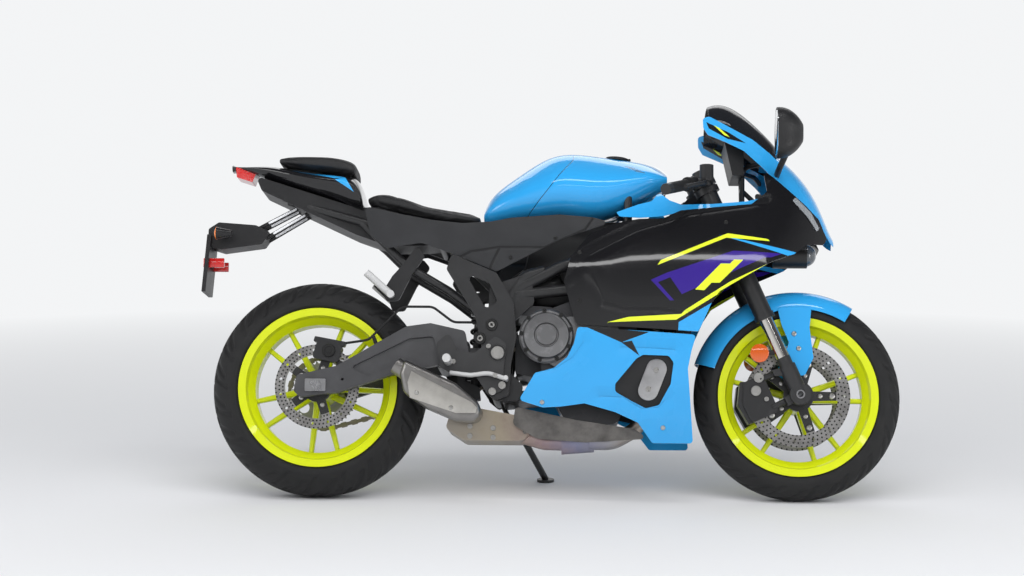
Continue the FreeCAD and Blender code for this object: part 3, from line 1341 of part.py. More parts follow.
def makeRearCaliper():
    """Single piston caliper above the right arm, with its bracket."""
    halves = []
    for side in (-1, 1):
        inner = -rearDiscPlace + side * (discThickness / 2 + padGap)
        halves.append(sidePlate(rearCaliperShares, inner, inner + side * rearCaliperDepth, tankRound))
    bridge = sidePlate(rearBridgeShares, -rearDiscPlace - rearCaliperDepth, -rearDiscPlace + rearCaliperDepth,
                       panelWall)
    bracket = sidePlate(rearBracketShares, -rearDiscPlace - discThickness / 2 - padGap,
                        -armRightInner, panelWall)
    return joined(halves + [bridge, bracket])


padGap = 1.5
rearCaliperDepth = 14.0
rearCaliperShares = [(-0.015, 0.4), (0.0, 0.452), (0.075, 0.435), (0.06, 0.385)]
rearBridgeShares = [(-0.012, 0.449), (-0.008, 0.464), (0.084, 0.447), (0.078, 0.433)]
rearBracketShares = [(0.05, 0.365), (0.06, 0.395), (0.085, 0.385), (0.085, 0.36)]


def makeBrakeHoses():
    """Rear brake hose, arched over the right arm and held by a clip on it."""
    points = [spot(hoseStartShare, -rearDiscPlace)] + [spot(pair, -hoseSide) for pair in hoseShares]
    hose = bentRod(points, hoseRadius, hoseBend)
    clip = rod(spot(hoseClipShares[0], -hoseSide), spot(hoseClipShares[1], -hoseSide), hoseClipRadius)
    holders = [makeRearCaliper(), makeSwingarm(), makeFrame(), makeSubframe()]
    return largest(joined([hose, clip]).cut(holders))


hoseSide = 114.0
hoseRadius = 3.6
hoseBend = 38.0
hoseClipRadius = 5.5
hoseStartShare = (0.06, 0.442)
hoseShares = [(0.15, 0.452), (0.245, 0.55), (0.335, 0.55), (0.395, 0.505), (0.52, 0.505)]
hoseClipShares = [(0.178, 0.425), (0.162, 0.466)]


def makeTripleClamps():
    """Lower and upper yoke on the hollow steering stem."""
    parts = []
    for place, height in ((lowerYokePlace, lowerYokeHeight), (upperYokePlace, upperYokeHeight)):
        parts.append(yoke(place, height))
    stemBottom = lowerYokePlace - stemProud
    stem = rod(forkSpot(stemBottom, -forkOffset), forkSpot(upperYokePlace + upperYokeHeight + stemProud, -forkOffset),
               stemRadius)
    bore = rod(forkSpot(stemBottom - overrun, -forkOffset), forkSpot(forkTop + overrun, -forkOffset), stemBore)
    headBottom = lowerYokePlace + lowerYokeHeight + moveClearance
    headTop = upperYokePlace - moveClearance
    for place in (headBottom, headTop - bearingHeight):
        parts.append(rod(forkSpot(place, -forkOffset), forkSpot(place + bearingHeight, -forkOffset),
                         headTubeBore - runningFit))
    return joined(parts + [stem]).cut(bore)


def yoke(place, height):
    clampRadius = forkTubeRadius + yokeWall
    clamps = []
    for side in (-1, 1):
        clamps.append(rod(forkSpot(place, 0.0, side * forkHalfSpacing),
                          forkSpot(place + height, 0.0, side * forkHalfSpacing), clampRadius))
    half = [(-forkOffset - yokeMidBack, yokeMidHalf), (-yokeClampBack, forkHalfSpacing),
            (yokeClampFront, forkHalfSpacing), (yokeMidFront, yokeMidHalf)]
    corners = [forkSpot(place, fore, -side) for fore, side in half]
    corners += [forkSpot(place, fore, side) for fore, side in reversed(half)]
    web = Part.Face(Part.makePolygon(corners + corners[:1])).extrude(steerUp * height)
    body = joined([web] + clamps)
    for side in (-1, 1):
        body = body.cut(rod(forkSpot(place - overrun, 0.0, side * forkHalfSpacing),
                            forkSpot(place + height + overrun, 0.0, side * forkHalfSpacing), forkTubeRadius))
    return body


bearingHeight = 16.0
yokeWall = 9.0
yokeMidHalf = 34.0
yokeMidFront = 4.0
yokeMidBack = 30.0
yokeClampBack = 21.6
yokeClampFront = 25.2
stemProud = 8.0


def makeForkTubes():
    """Upper tubes of the upside down fork, with their caps."""
    one = rod(forkSpot(forkTubeStart, 0.0, -forkHalfSpacing), forkSpot(forkTop, 0.0, -forkHalfSpacing), forkTubeRadius)
    collar = rod(forkSpot(forkTubeStart, 0.0, -forkHalfSpacing),
                 forkSpot(forkTubeStart + collarHeight, 0.0, -forkHalfSpacing), forkTubeRadius + panelWall)
    cap = rod(forkSpot(forkTop, 0.0, -forkHalfSpacing), forkSpot(forkTop + forkCapHeight, 0.0, -forkHalfSpacing),
              forkCapRadius)
    return bothSides(joined([one, collar, cap]))


collarHeight = 16.0
forkCapHeight = 6.0
forkCapRadius = 18.9


def makeForkSliders():
    """Bright inner tubes with the castings that clamp the axle and carry the calipers."""
    inner = rod(forkSpot(castingHeight - plateBite, 0.0, -forkHalfSpacing),
                forkSpot(forkTubeStart, 0.0, -forkHalfSpacing), forkSliderRadius)
    sleeve = rod(forkSpot(0.0, 0.0, -forkHalfSpacing), forkSpot(castingHeight, 0.0, -forkHalfSpacing), castingRadius)
    clamp = disc(frontAxle, -forkHalfSpacing, axleClampRadius, 2 * castingRadius * clampWidthShare)
    lug = []
    for pairs in caliperLugSpots():
        corners = [forkSpot(along, fore, -forkHalfSpacing - lugHalfWidth) for along, fore in pairs]
        lug.append(Part.Face(Part.makePolygon(corners + corners[:1])).extrude(yAxis * (2 * lugHalfWidth)))
    hole = rod(frontAxle - yAxis * (forkHalfSpacing + overrun), frontAxle, frontAxleRadius)
    return bothSides(joined([inner, sleeve, clamp] + lug).cut(hole))


castingHeight = 92.0
castingRadius = 25.0
clampWidthShare = 0.8
axleSpacerRadius = 18.0
axleClampRadius = 30.0
lugHalfWidth = 9.0


def caliperLugSpots():
    """Outlines of the two lugs, from the fork's middle out to the caliper."""
    reach = -castingRadius - lugReach
    return [[(root[0], 0.0), (tip[0], reach), (tip[1], reach), (root[1], 0.0)] for root, tip in lugSpans]


lugReach = 20.0
lugSpans = [((-15.0, 15.0), (-15.0, 10.0)), ((60.0, 90.0), (78.0, 96.0))]


def makeFrontAxle():
    """Hollow spindle, open through its whole length."""
    half = forkHalfSpacing + castingRadius * clampWidthShare
    inner = forkHalfSpacing - castingRadius
    wheelSide = frontDiscPlace + discThickness / 2 + padGap
    spacers = [rod(frontAxle + yAxis * (side * wheelSide), frontAxle + yAxis * (side * inner), axleSpacerRadius)
               for side in (-1, 1)]
    whole = joined([rod(frontAxle - yAxis * half, frontAxle + yAxis * half, frontAxleRadius)] + spacers)
    return whole.cut(rod(frontAxle - yAxis * (half + overrun), frontAxle + yAxis * (half + overrun), frontAxleBore))


def makeFrontCalipers():
    """Radial calipers behind the fork legs, each over its disc."""
    halves = []
    for side in (-1, 1):
        inner = -frontDiscPlace + side * (discThickness / 2 + padGap)
        corners = [forkSpot(along, fore, inner) for along, fore in caliperSpots]
        plate = Part.Face(roundedWire(corners, tankRound)).extrude(yAxis * (side * caliperDepth))
        halves.append(plate)
    corners = [forkSpot(along, fore, -frontDiscPlace - caliperDepth) for along, fore in caliperBridgeSpots]
    bridge = Part.Face(roundedWire(corners, panelWall)).extrude(yAxis * (2 * caliperDepth))
    arm = []
    for along in caliperBoltPlaces:
        arm.append(rod(forkSpot(along, -castingRadius - lugReach - seatGap, -forkHalfSpacing + lugHalfWidth * 2),
                       forkSpot(along, -castingRadius - lugReach - caliperArm, -forkHalfSpacing + lugHalfWidth * 2),
                       lugHalfWidth))
    return bothSides(joined(halves + [bridge] + arm))


caliperDepth = 24.0
caliperArm = 40.0
caliperBoltPlaces = (0.0, 86.0)
caliperSpots = [(-18.0, -72.0), (98.0, -72.0), (98.0, -132.0), (40.0, -160.0), (-18.0, -158.0)]
caliperBridgeSpots = [(98.0, -126.0), (42.0, -156.0), (-18.0, -153.0), (-18.0, -168.0), (46.0, -174.0), (104.0, -140.0)]


def makeFrontFender():
    """Arched guard over the tyre, with a leg to each fork casting."""
    centreRadius = frontTyreRadius - frontTyreHalfWidth
    inner = frontTyreHalfWidth + fenderGap
    outer = inner + panelWall
    start = math.radians(fenderFrontDegrees)
    corners = []
    for radius in (inner, outer):
        arc = []
        for degrees in (-fenderHalfDegrees, 0.0, fenderHalfDegrees):
            turn = math.radians(degrees)
            reach = centreRadius + radius * math.cos(turn)
            arc.append(frontAxle + polar(start) * reach + yAxis * (radius * math.sin(turn)))
        corners.append(arc)
    wire = Part.Wire([Part.Arc(*corners[0]).toShape(), Part.LineSegment(corners[0][2], corners[1][2]).toShape(),
                      Part.Arc(*corners[1]).toShape(), Part.LineSegment(corners[1][0], corners[0][0]).toShape()])
    guard = Part.Face(wire).revolve(frontAxle, yAxis, fenderFrontDegrees - fenderRearDegrees)
    leg = sidePlateAt(frontAxle, fenderLegShares, fenderLegPlace, fenderLegPlace + panelWall)
    boss = rod(forkSpot(fenderBossPlace, 0.0, fenderLegPlace), forkSpot(fenderBossPlace, 0.0, forkHalfSpacing), stayRadius)
    leg = leg.fuse(boss.cut(rod(forkSpot(0.0, 0.0, forkHalfSpacing), forkSpot(castingHeight, 0.0, forkHalfSpacing),
                                castingRadius)))
    return joined([guard, leg, mirrored(leg)])


def sidePlateAt(centre, shares, inner, outer):
    """Plate whose outline is given in shares of the front tyre's radius from a centre."""
    corners = [centre + FreeCAD.Vector(x * frontTyreRadius, inner, z * frontTyreRadius) for x, z in shares]
    return Part.Face(roundedWire(corners, tankRound)).extrude(yAxis * (outer - inner))


fenderGap = 10.0
fenderFrontDegrees = 58.0
fenderRearDegrees = 162.0
fenderHalfDegrees = 78.0
fenderLegPlace = 71.0
fenderBossPlace = 76.0
fenderLegShares = [(-0.2, 0.86), (0.13, 0.86), (0.11, 0.66), (0.145, 0.37), (0.06, 0.2), (-0.15, 0.18), (-0.15, 0.32),
                   (-0.09, 0.52), (-0.16, 0.69)]


def makeHandlebars():
    """Clip-on bars clamped to the fork tubes, with their end weights."""
    root = forkSpot(clipPlace, 0.0, -forkHalfSpacing)
    clamp = tube(forkSpot(clipPlace, 0.0, -forkHalfSpacing), forkSpot(clipPlace + clipHeight, 0.0, -forkHalfSpacing),
                 forkTubeRadius + yokeWall, forkTubeRadius)
    start = forkSpot(clipPlace + clipHeight / 2, 0.0, -forkHalfSpacing - forkTubeRadius)
    end = spot(barEndShare, -barHalfWidth)
    bar = rod(start, end, barRadius)
    along = (end - start).normalize()
    weight = rod(end, end + along * barWeightLength, gripRadius)
    tubeCut = rod(root, forkSpot(forkTop, 0.0, -forkHalfSpacing), forkTubeRadius)
    return bothSides(joined([clamp, bar, weight]).cut(tubeCut))


clipPlace = 664.0
clipHeight = 28.0
barEndShare = (1.012, 0.862)
barHalfWidth = 318.0
barRadius = 11.0
barWeightLength = 24.0
gripRadius = 16.0
gripLength = 118.0
gripFlangeRadius = 21.6


def barLine():
    start = forkSpot(clipPlace + clipHeight / 2, 0.0, -forkHalfSpacing - forkTubeRadius)
    end = spot(barEndShare, -barHalfWidth)
    return start, end, (end - start).normalize()


def makeGrips():
    start, end, along = barLine()
    last = end - along * seatGap
    first = last - along * gripLength
    sleeve = rod(first, last, gripRadius).cut(rod(first - along, last + along, barRadius))
    flange = rod(first, first + along * panelWall, gripFlangeRadius).cut(rod(first - along, last, barRadius))
    return bothSides(joined([sleeve, flange]))


def makeHandControls():
    """Switch blocks, levers and the brake reservoir."""
    start, end, along = barLine()
    first = end - along * (gripLength + switchGap)
    block = rod(first - along * switchLength, first, switchRadius).cut(rod(start, end, barRadius))
    ahead = zAxis.cross(along)
    ahead = ahead * (-1 if ahead.x < 0 else 1)
    pivot = first - along * leverPivotBack + ahead * leverReach
    lever = bentRod([pivot + along * reach + ahead * fore for reach, fore in leverSpots], leverRadius, frameBend)
    holder = rod(first - along * switchLength, pivot + ahead * leverRadius, holderRadius)
    holder = holder.cut(rod(start, end, barRadius))
    one = joined([block, holder, lever])
    foot = pivot - along * reservoirBack
    cup = rod(foot, foot + zAxis * reservoirHeight, reservoirRadius)
    neck = rod(foot - zAxis * neckDrop, foot + zAxis * seatGap, neckTubeRadius)
    return Part.makeCompound([joined([one, cup, neck]), mirrored(one)])


leverPivotBack = 39.6
leverSpots = [(0.0, 0.0), (45.0, 23.8), (150.0, 13.6)]
holderRadius = 11.0
reservoirBack = 14.4
neckDrop = 12.6
neckTubeRadius = 12.0
switchGap = 3.0
switchLength = 36.0
switchRadius = 20.0
leverReach = 34.0
leverRadius = 6.0
reservoirHeight = 48.0
reservoirRadius = 20.0


def makeSideStand():
    """Leg and foot of the side stand, drawn where it holds the bike."""
    pivot = FreeCAD.Vector(standPivotReach, standPivotSide, standPivotHeight)
    foot = standFoot()
    leg = rod(pivot, foot + groundUp * standFootHeight, standLegRadius)
    pad = Part.makeCylinder(standPadRadius, standFootHeight, foot, groundUp)
    eye = rod(pivot - standAxis() * standEyeHalf, pivot + standAxis() * standEyeHalf, standEyeRadius)
    body = joined([leg, pad, eye])
    return body.cut(rod(pivot - standAxis() * overrun, pivot + standAxis() * overrun, standBoltRadius))


standFootHeight = 8.0
standLegRadius = 10.0
standPadRadius = 26.0
standEyeHalf = 11.0
standEyeRadius = 16.0
standBoltRadius = 6.0


def standFoot():
    """Middle of the pad's underside, on the ground that the leaned bike stands on."""
    return FreeCAD.Vector(standFootReach, standFootSide * math.cos(lean), standFootSide * math.sin(lean))


def standAxis():
    """Hinge axis that swings the leg from its prop back along the bike."""
    pivot = FreeCAD.Vector(standPivotReach, standPivotSide, standPivotHeight)
    down = (standFoot() + groundUp * standFootHeight - pivot).normalize()
    stowed = FreeCAD.Vector(*standStowShares).normalize()
    return down.cross(stowed).normalize()


standStowShares = (-0.99, 0.04, 0.08)


def makeStandBracket():
    """Fork-shaped lug on the frame that holds the stand's bolt."""
    pivot = FreeCAD.Vector(standPivotReach, standPivotSide, standPivotHeight)
    axis = standAxis()
    bolt = rod(pivot - axis * (standEyeHalf + standLugWall), pivot + axis * (standEyeHalf + standLugWall),
               standBoltRadius - seatGap / 2)
    lugs = []
    for side in (-1, 1):
        base = pivot + axis * (side * (standEyeHalf + seatGap))
        lugs.append(rod(base, base + axis * (side * standLugWall), standEyeRadius))
    arms = [rod(pivot + axis * (side * (standEyeHalf + seatGap + standLugWall / 2)), spot(share, standArmSide),
                standArmRadius) for side, share in ((-1, standArmShare), (1, standBraceShare))]
    swept = rod(pivot - axis * (standEyeHalf + seatGap), pivot + axis * (standEyeHalf + seatGap),
                standEyeRadius + moveClearance)
    return joined([joined(lugs + arms).cut(swept), bolt])


standLugWall = 14.0
standArmRadius = 7.0
standArmSide = 112.0
standArmShare = (0.53, 0.29)
standBraceShare = (0.585, 0.3)

builders = {
    'frame': makeFrame,
    'subframe': makeSubframe,
    'engine': makeEngine,
    'clutch_cover': makeClutchCover,
    'generator_cover': makeGeneratorCover,
    'radiator': makeRadiator,
    'exhaust_pipes': makeExhaustPipes,
    'muffler': makeMuffler,
    'heat_shield': makeHeatShield,
    'swingarm': makeSwingarm,
    'rear_axle': makeRearAxle,
    'shock_absorber': makeShockAbsorber,
    'chain': makeChain,
    'fuel_tank': makeFuelTank,
    'tank_cowls': makeTankCowls,
    'rider_seat': makeRiderSeat,
    'pillion_seat': makePillionSeat,
    'tail_cowl': makeTailCowl,
    'undertail': makeUndertail,
    'tail_light': makeTailLight,
    'plate_holder': makePlateHolder,
    'rear_indicators': makeRearIndicators,
    'side_covers': makeSideCovers,
    'pivot_covers': makePivotCovers,
    'upper_fairing_right': makeUpperFairing,
    'upper_fairing_left': lambda: mirrored(makeUpperFairing()),
    'lower_fairing_right': makeLowerFairing,
    'lower_fairing_left': lambda: mirrored(makeLowerFairing()),
    'nose_cowl': makeNoseCowl,
    'windscreen': makeWindscreen,
    'headlight': makeHeadlight,
    'running_lights': makeRunningLights,
    'instrument_panel': makeInstrumentPanel,
    'fairing_stay': makeFairingStay,
    'mirrors': makeMirrors,
    'rearset_right': lambda: makeRearset(-1),
    'rearset_left': lambda: makeRearset(1),
    'passenger_hangers': makePassengerHangers,
    'rear_caliper': makeRearCaliper,
    'brake_hoses': makeBrakeHoses,
    'triple_clamps': makeTripleClamps,
    'fork_tubes': makeForkTubes,
    'fork_sliders': makeForkSliders,
    'front_axle': makeFrontAxle,
    'front_calipers': makeFrontCalipers,
    'front_fender': makeFrontFender,
    'handlebars': makeHandlebars,
    'grips': makeGrips,
    'hand_controls': makeHandControls,
    'front_rim': lambda: makeRim(frontAxle, frontRimHalfWidth, frontHubHalfWidth, frontSpokeTurn,
                                 frontAxleRadius + runningFit),
    'front_tyre': lambda: makeTyre(frontAxle, frontTyreRadius, frontTyreHalfWidth, frontRimHalfWidth),
    'front_discs': makeFrontDiscs,
    'rear_rim': lambda: makeRim(rearAxle, rearRimHalfWidth, rearHubHalfWidth, rearSpokeTurn,
                                rearAxleRadius + runningFit),
    'rear_tyre': lambda: makeTyre(rearAxle, rearTyreRadius, rearTyreHalfWidth, rearRimHalfWidth),
    'rear_disc': makeRearDisc,
    'rear_sprocket': makeRearSprocket,
    'side_stand': makeSideStand,
    'fuel_cap': makeFuelCap,
}


def leaned(shape):
    shape = shape.copy()
    shape.rotate(origin, xAxis, -leanDegrees)
    return shape


def centring(shapes):
    """Shift that brings the middle of the whole bike's footprint to the origin."""
    boxes = [shape.optimalBoundingBox(False, False) for shape in shapes]
    middleX = (min(box.XMin for box in boxes) + max(box.XMax for box in boxes)) / 2
    middleY = (min(box.YMin for box in boxes) + max(box.YMax for box in boxes)) / 2
    return FreeCAD.Vector(-middleX, -middleY, 0)


def main():
    os.makedirs("parts", exist_ok=True)
    shapes = {name: leaned(build()) for name, build in builders.items()}
    shift = centring(shapes.values())
    for name, shape in shapes.items():
        shape.translate(shift)
        shape.exportStep("parts/" + name + ".step")
    return shapes, shift


shapes, shift = main()
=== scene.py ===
import json
import math

import bmesh
import bpy
from mathutils import Matrix, Vector
from mathutils.bvhtree import BVHTree


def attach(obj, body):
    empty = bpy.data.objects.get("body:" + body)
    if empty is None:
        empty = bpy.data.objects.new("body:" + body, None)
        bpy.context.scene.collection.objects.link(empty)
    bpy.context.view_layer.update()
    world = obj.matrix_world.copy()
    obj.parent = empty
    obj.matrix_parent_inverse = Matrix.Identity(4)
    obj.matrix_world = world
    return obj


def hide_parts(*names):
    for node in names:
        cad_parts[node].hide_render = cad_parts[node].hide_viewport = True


# A faired sport bike on its side stand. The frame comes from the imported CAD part; everything here dresses it.
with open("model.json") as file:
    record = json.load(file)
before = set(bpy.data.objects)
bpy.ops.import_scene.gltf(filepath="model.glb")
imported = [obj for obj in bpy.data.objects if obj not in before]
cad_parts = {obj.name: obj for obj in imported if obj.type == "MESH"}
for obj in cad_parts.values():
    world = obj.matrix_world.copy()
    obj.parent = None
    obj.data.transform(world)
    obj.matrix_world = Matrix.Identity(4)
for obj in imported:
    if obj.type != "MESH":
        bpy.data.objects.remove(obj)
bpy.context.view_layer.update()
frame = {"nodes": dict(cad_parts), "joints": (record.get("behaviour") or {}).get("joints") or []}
nodes = frame["nodes"]
joints = {joint["name"]: joint for joint in frame["joints"]}
print("frame loaded:", len(nodes), "nodes")


# where things are: the bike is drawn upright in millimetres, then leaned over onto its stand

rearWheel = joints["rear_wheel_turn"]
lean = math.asin(-rearWheel["axis"][2])
rearAxleSpot = Vector(rearWheel["pos_m"])
axleHeight = rearAxleSpot.z / math.cos(lean)
leanTurn = Matrix.Rotation(-lean, 4, "X")
groundSpot = rearAxleSpot - leanTurn @ Vector((0, 0, axleHeight))
toFrame = Matrix.Translation(groundSpot) @ leanTurn
toUpright = toFrame.inverted()
rearAxle = Vector((0, 0, axleHeight * 1000))
frontAxle = toUpright @ Vector(joints["front_wheel_turn"]["pos_m"]) * 1000
steerUp = (leanTurn.inverted().to_3x3() @ Vector(joints["steering"]["axis"])).normalized()
if steerUp.z < 0:
    steerUp = -steerUp


# shader writing

# A socket that takes part in Python sums
class Wire:
    def __init__(self, paint, socket):
        self.paint = paint
        self.socket = socket

    def __add__(self, other):
        return self.paint.maths("ADD", self, other)

    def __sub__(self, other):
        return self.paint.maths("SUBTRACT", self, other)

    def __mul__(self, other):
        return self.paint.maths("MULTIPLY", self, other)

    def __gt__(self, other):
        return self.paint.maths("GREATER_THAN", self, other)

    def __lt__(self, other):
        return self.paint.maths("LESS_THAN", self, other)


# Writer of the nodes of a new material, or of the world that it is given
class Paint:
    def __init__(self, name, owner=None):
        self.owner = owner or bpy.data.materials.new(name)
        self.owner.use_nodes = True
        self.tree = self.owner.node_tree
        self.tree.nodes.clear()

    def node(self, kind, settings=None, inputs=None, out=0):
        made = self.tree.nodes.new(kind)
        for key, value in (settings or {}).items():
            setattr(made, key, value)
        for key, value in (inputs or {}).items():
            if isinstance(value, Wire):
                self.tree.links.new(value.socket, made.inputs[key])
            else:
                made.inputs[key].default_value = value
        self.last = made
        return Wire(self, made.outputs[out]) if made.outputs else None

    def maths(self, operation, first, second=0.0):
        return self.node("ShaderNodeMath", {"operation": operation}, {0: first, 1: second})

    def mix(self, mask, first, second):
        first = (*first, 1) if isinstance(first, tuple) and len(first) == 3 else first
        second = (*second, 1) if isinstance(second, tuple) and len(second) == 3 else second
        return self.node("ShaderNodeMix", {"data_type": "RGBA"}, {0: mask, 6: first, 7: second}, out=2)

    # Object coordinates, in metres, in the part's frame
    def spot(self):
        return self.node("ShaderNodeTexCoord", out=3)

    # The place on the bike before it was leaned over, as three wires
    def uprightAxes(self):
        offset = -(leanTurn.inverted() @ groundSpot)
        upright = self.node("ShaderNodeMapping", {}, {0: self.spot(), 1: tuple(offset), 2: (lean, 0, 0)})
        self.node("ShaderNodeSeparateXYZ", {}, {0: upright})
        return [Wire(self, output) for output in self.last.outputs]

    def noise(self, scale, detail=3.0, rough=0.5, vector=None):
        return self.node("ShaderNodeTexNoise", {}, {"Vector": vector or self.spot(), "Scale": scale,
                                                    "Detail": detail, "Roughness": rough})

    def ramp(self, value, stops):
        colour = self.node("ShaderNodeValToRGB", {}, {0: value})
        elements = self.last.color_ramp.elements
        while len(elements) < len(stops):
            elements.new(0.5)
        for element, (place, shade) in zip(elements, stops):
            element.position = place
            element.color = (*shade, 1)
        return colour

    def range(self, value, low, high, toLow=0.0, toHigh=1.0):
        return self.node("ShaderNodeMapRange", {}, {0: value, 1: low, 2: high, 3: toLow, 4: toHigh})

    def bump(self, height, strength=0.2, distance=0.001, normal=None):
        inputs = {"Height": height, "Strength": strength, "Distance": distance}
        if normal:
            inputs["Normal"] = normal
        return self.node("ShaderNodeBump", {}, inputs)

    def shader(self, **sockets):
        inputs = {key.replace("_", " "): value for key, value in sockets.items()}
        if isinstance(inputs["Base Color"], tuple):
            inputs["Base Color"] = (*inputs["Base Color"], 1)
        surface = self.node("ShaderNodeBsdfPrincipled", {}, inputs)
        self.node("ShaderNodeOutputMaterial", {}, {0: surface})
        return self.owner


# Mask of a convex outline, its corners in millimetres and in either order
def inPolygon(paint, x, z, corners):
    middleX = sum(corner[0] for corner in corners) / len(corners) / 1000
    middleZ = sum(corner[1] for corner in corners) / len(corners) / 1000
    mask = None
    for first, second in zip(corners, corners[1:] + corners[:1]):
        ax, az = first[0] / 1000, first[1] / 1000
        acrossX, acrossZ = -(second[1] / 1000 - az), second[0] / 1000 - ax
        if (middleX - ax) * acrossX + (middleZ - az) * acrossZ < 0:
            acrossX, acrossZ = -acrossX, -acrossZ
        side = (x * acrossX + z * acrossZ) > (ax * acrossX + az * acrossZ)
        mask = side if mask is None else mask * side
    return mask


# Distance in metres to a broken line given in millimetres of reach and height
def nearLine(paint, x, z, points):
    nearest = None
    for first, second in zip(points, points[1:]):
        ax, az = first[0] / 1000, first[1] / 1000
        dx, dz = second[0] / 1000 - ax, second[1] / 1000 - az
        span = dx * dx + dz * dz
        along = paint.node("ShaderNodeClamp", {}, {0: (x * dx + z * dz - (ax * dx + az * dz)) * (1 / span)})
        away = paint.maths("SQRT", paint.maths("POWER", x - (along * dx + ax), 2.0)
                           + paint.maths("POWER", z - (along * dz + az), 2.0))
        nearest = away if nearest is None else paint.maths("MINIMUM", nearest, away)
    return nearest


def anyOf(paint, masks):
    whole = masks[0]
    for mask in masks[1:]:
        whole = paint.maths("MAXIMUM", whole, mask)
    return whole


# finishes

colours = {
    "blue": (0.026, 0.34, 0.74), "black": (0.006, 0.006, 0.007), "lime": (0.64, 0.72, 0.008),
    "yellow": (0.72, 0.84, 0.03), "purple": (0.03, 0.01, 0.22), "greyMatt": (0.02, 0.0205, 0.0225),
    "blackMatt": (0.012, 0.012, 0.013), "frameBlack": (0.013, 0.013, 0.014), "engine": (0.036, 0.036, 0.039),
    "alloy": (0.52, 0.52, 0.53), "steel": (0.42, 0.42, 0.43), "rubber": (0.012, 0.012, 0.0125),
    # highlightWhite is the colour of the painted highlight on the plate holder's struts
    "seat": (0.014, 0.014, 0.015), "amber": (0.85, 0.2, 0.01), "highlightWhite": (0.75, 0.76, 0.78), "bare": (0.5, 0.5, 0.5),
}

# what is painted on each panel: colours with their outlines, in millimetres of reach and height
decals = {
    "fairing": [
        ("blue", [[(1043, 498), (1400, 712), (1500, 700), (1200, 440), (1040, 440)],
                  [(1160, 752), (1392, 706), (1358, 697)]]),
        ("purple", [[(1010, 640), (1200, 706), (1215, 682), (1052, 578)],
                    [(1200, 706), (1343, 702), (1310, 690), (1215, 682)],
                    [(1052, 578), (1215, 682), (1290, 688)],
                    [(964, 619), (1010, 640), (1020, 627), (984, 612)],
                    [(964, 619), (984, 612), (1030, 560), (1018, 560)]]),
        ("yellow", [[(983, 662), (1180, 744), (1184, 757), (992, 676)],
                    [(1180, 744), (1306, 737), (1300, 743), (1184, 757)],
                    [(839, 497), (1036, 505), (1060, 522), (900, 512)],
                    [(1036, 505), (1310, 676), (1190, 616), (1060, 532)],
                    [(1090, 592), (1116, 590), (1190, 668), (1164, 668)],
                    [(1134, 612), (1160, 612), (1228, 680), (1202, 680)]]),
    ],
    "lower": [("black", [[(775, 486), (960, 470), (880, 440)], [(880, 440), (910, 445), (932, 402)]])],
    "nose": [
        ("black", [[(1128, 1098), (1190, 1068), (1243, 1034), (1190, 1046), (1135, 1078)]]),
        ("yellow", [[(1150, 1088), (1166, 1080), (1196, 1052), (1180, 1058)]]),
    ],
    "tail": [("blue", [[(-96, 962), (-20, 952), (70, 934), (40, 930)], [(70, 934), (98, 888), (41, 926)]])],
}

# panel joints and creases, in millimetres of reach and height
seams = {
    "lower": [[(818, 287), (884, 284), (938, 252), (985, 256), (1010, 280)], [(878, 426), (967, 424), (1030, 420)],
              [(644, 355), (692, 365), (740, 395), (772, 440)]],
    "tank": [[(742, 1010), (739, 990), (701, 939), (670, 897), (607, 822), (598, 780)],
             [(893, 972), (921, 965)], [(902, 966), (930, 959)], [(911, 960), (939, 953)], [(920, 954), (948, 947)]],
    "sideCover": [[(372, 655), (405, 688), (443, 709), (529, 721), (660, 719), (775, 770), (800, 806)],
                  [(529, 721), (507, 676), (490, 630)]],
    "fairing": [[(715, 620), (787, 694), (925, 765), (1077, 812), (1300, 850)],
                [(799, 640), (832, 560), (889, 542), (986, 542), (1076, 528)]],
}
grooves = {"crease": 0.03, "joint": 0.0022, "coverJoint": 0.009, "dark": 0.4}

# where one node changes its finish, in metres of the upright bike
limits = {"frontDisc": 0.7, "forkClamp": 0.118, "lampLens": 1.428, "rearLens": -0.307, "riderPegs": 0.1625,
          # the last is the half width of the painted highlight on the struts
          "passengerPegs": 0.1128, "highlightHalfWidth": 0.0035}


# Colours laid on in turn, each inside its outlines
def decorated(paint, base, layers):
    x, y, z = paint.uprightAxes()
    for colour, outlines in layers:
        mask = anyOf(paint, [inPolygon(paint, x, z, outline) for outline in outlines])
        base = paint.mix(mask, base, colours[colour])
    return base


# Distance in metres to the nearest of the named lines
def nearSeams(paint, name):
    x, y, z = paint.uprightAxes()
    nearest = None
    for line in seams[name]:
        away = nearLine(paint, x, z, line)
        nearest = away if nearest is None else paint.maths("MINIMUM", nearest, away)
    return nearest


# Soft steps beside the named lines, as pressed into a panel
def creased(paint, name):
    return paint.maths("SQRT", paint.range(nearSeams(paint, name), 0.0, grooves["crease"]))


# Depth of the grooves laid over a finer height, and a mask for the dark line in them
def seamed(paint, name, height, width):
    away = nearSeams(paint, name)
    return height * 0.04 + paint.range(away, 0.0, width), away < (width * grooves["dark"])


# Sprayed panel: colour under clear coat, with faint orange peel and dust in its roughness
def gloss(name, colour, decal=None, rough=0.22, coat=1.0, lines=None, creases=None):
    paint = Paint(name)
    peel = paint.noise(420.0, 2.0)
    dust = paint.noise(9.0, 4.0)
    base = paint.mix(paint.range(dust, 0.3, 0.8, 0.0, 0.16), colour, tuple(c * 0.8 for c in colour))
    if decal:
        base = decorated(paint, base, decals[decal])
    skin = paint.bump(peel, 0.04, 0.0004)
    if lines:
        height, dark = seamed(paint, lines, peel, grooves["joint"])
        base = paint.mix(dark, base, colours["black"])
        skin = paint.bump(height, 0.9, 0.0012)
    if creases:
        skin = paint.bump(creased(paint, creases), 1.0, 0.006, skin)
    return paint.shader(Base_Color=base, Roughness=paint.range(dust, 0.35, 0.75, rough, rough + 0.08),
                        Normal=skin, Coat_Weight=coat, Coat_Roughness=0.04, Specular_IOR_Level=0.12)


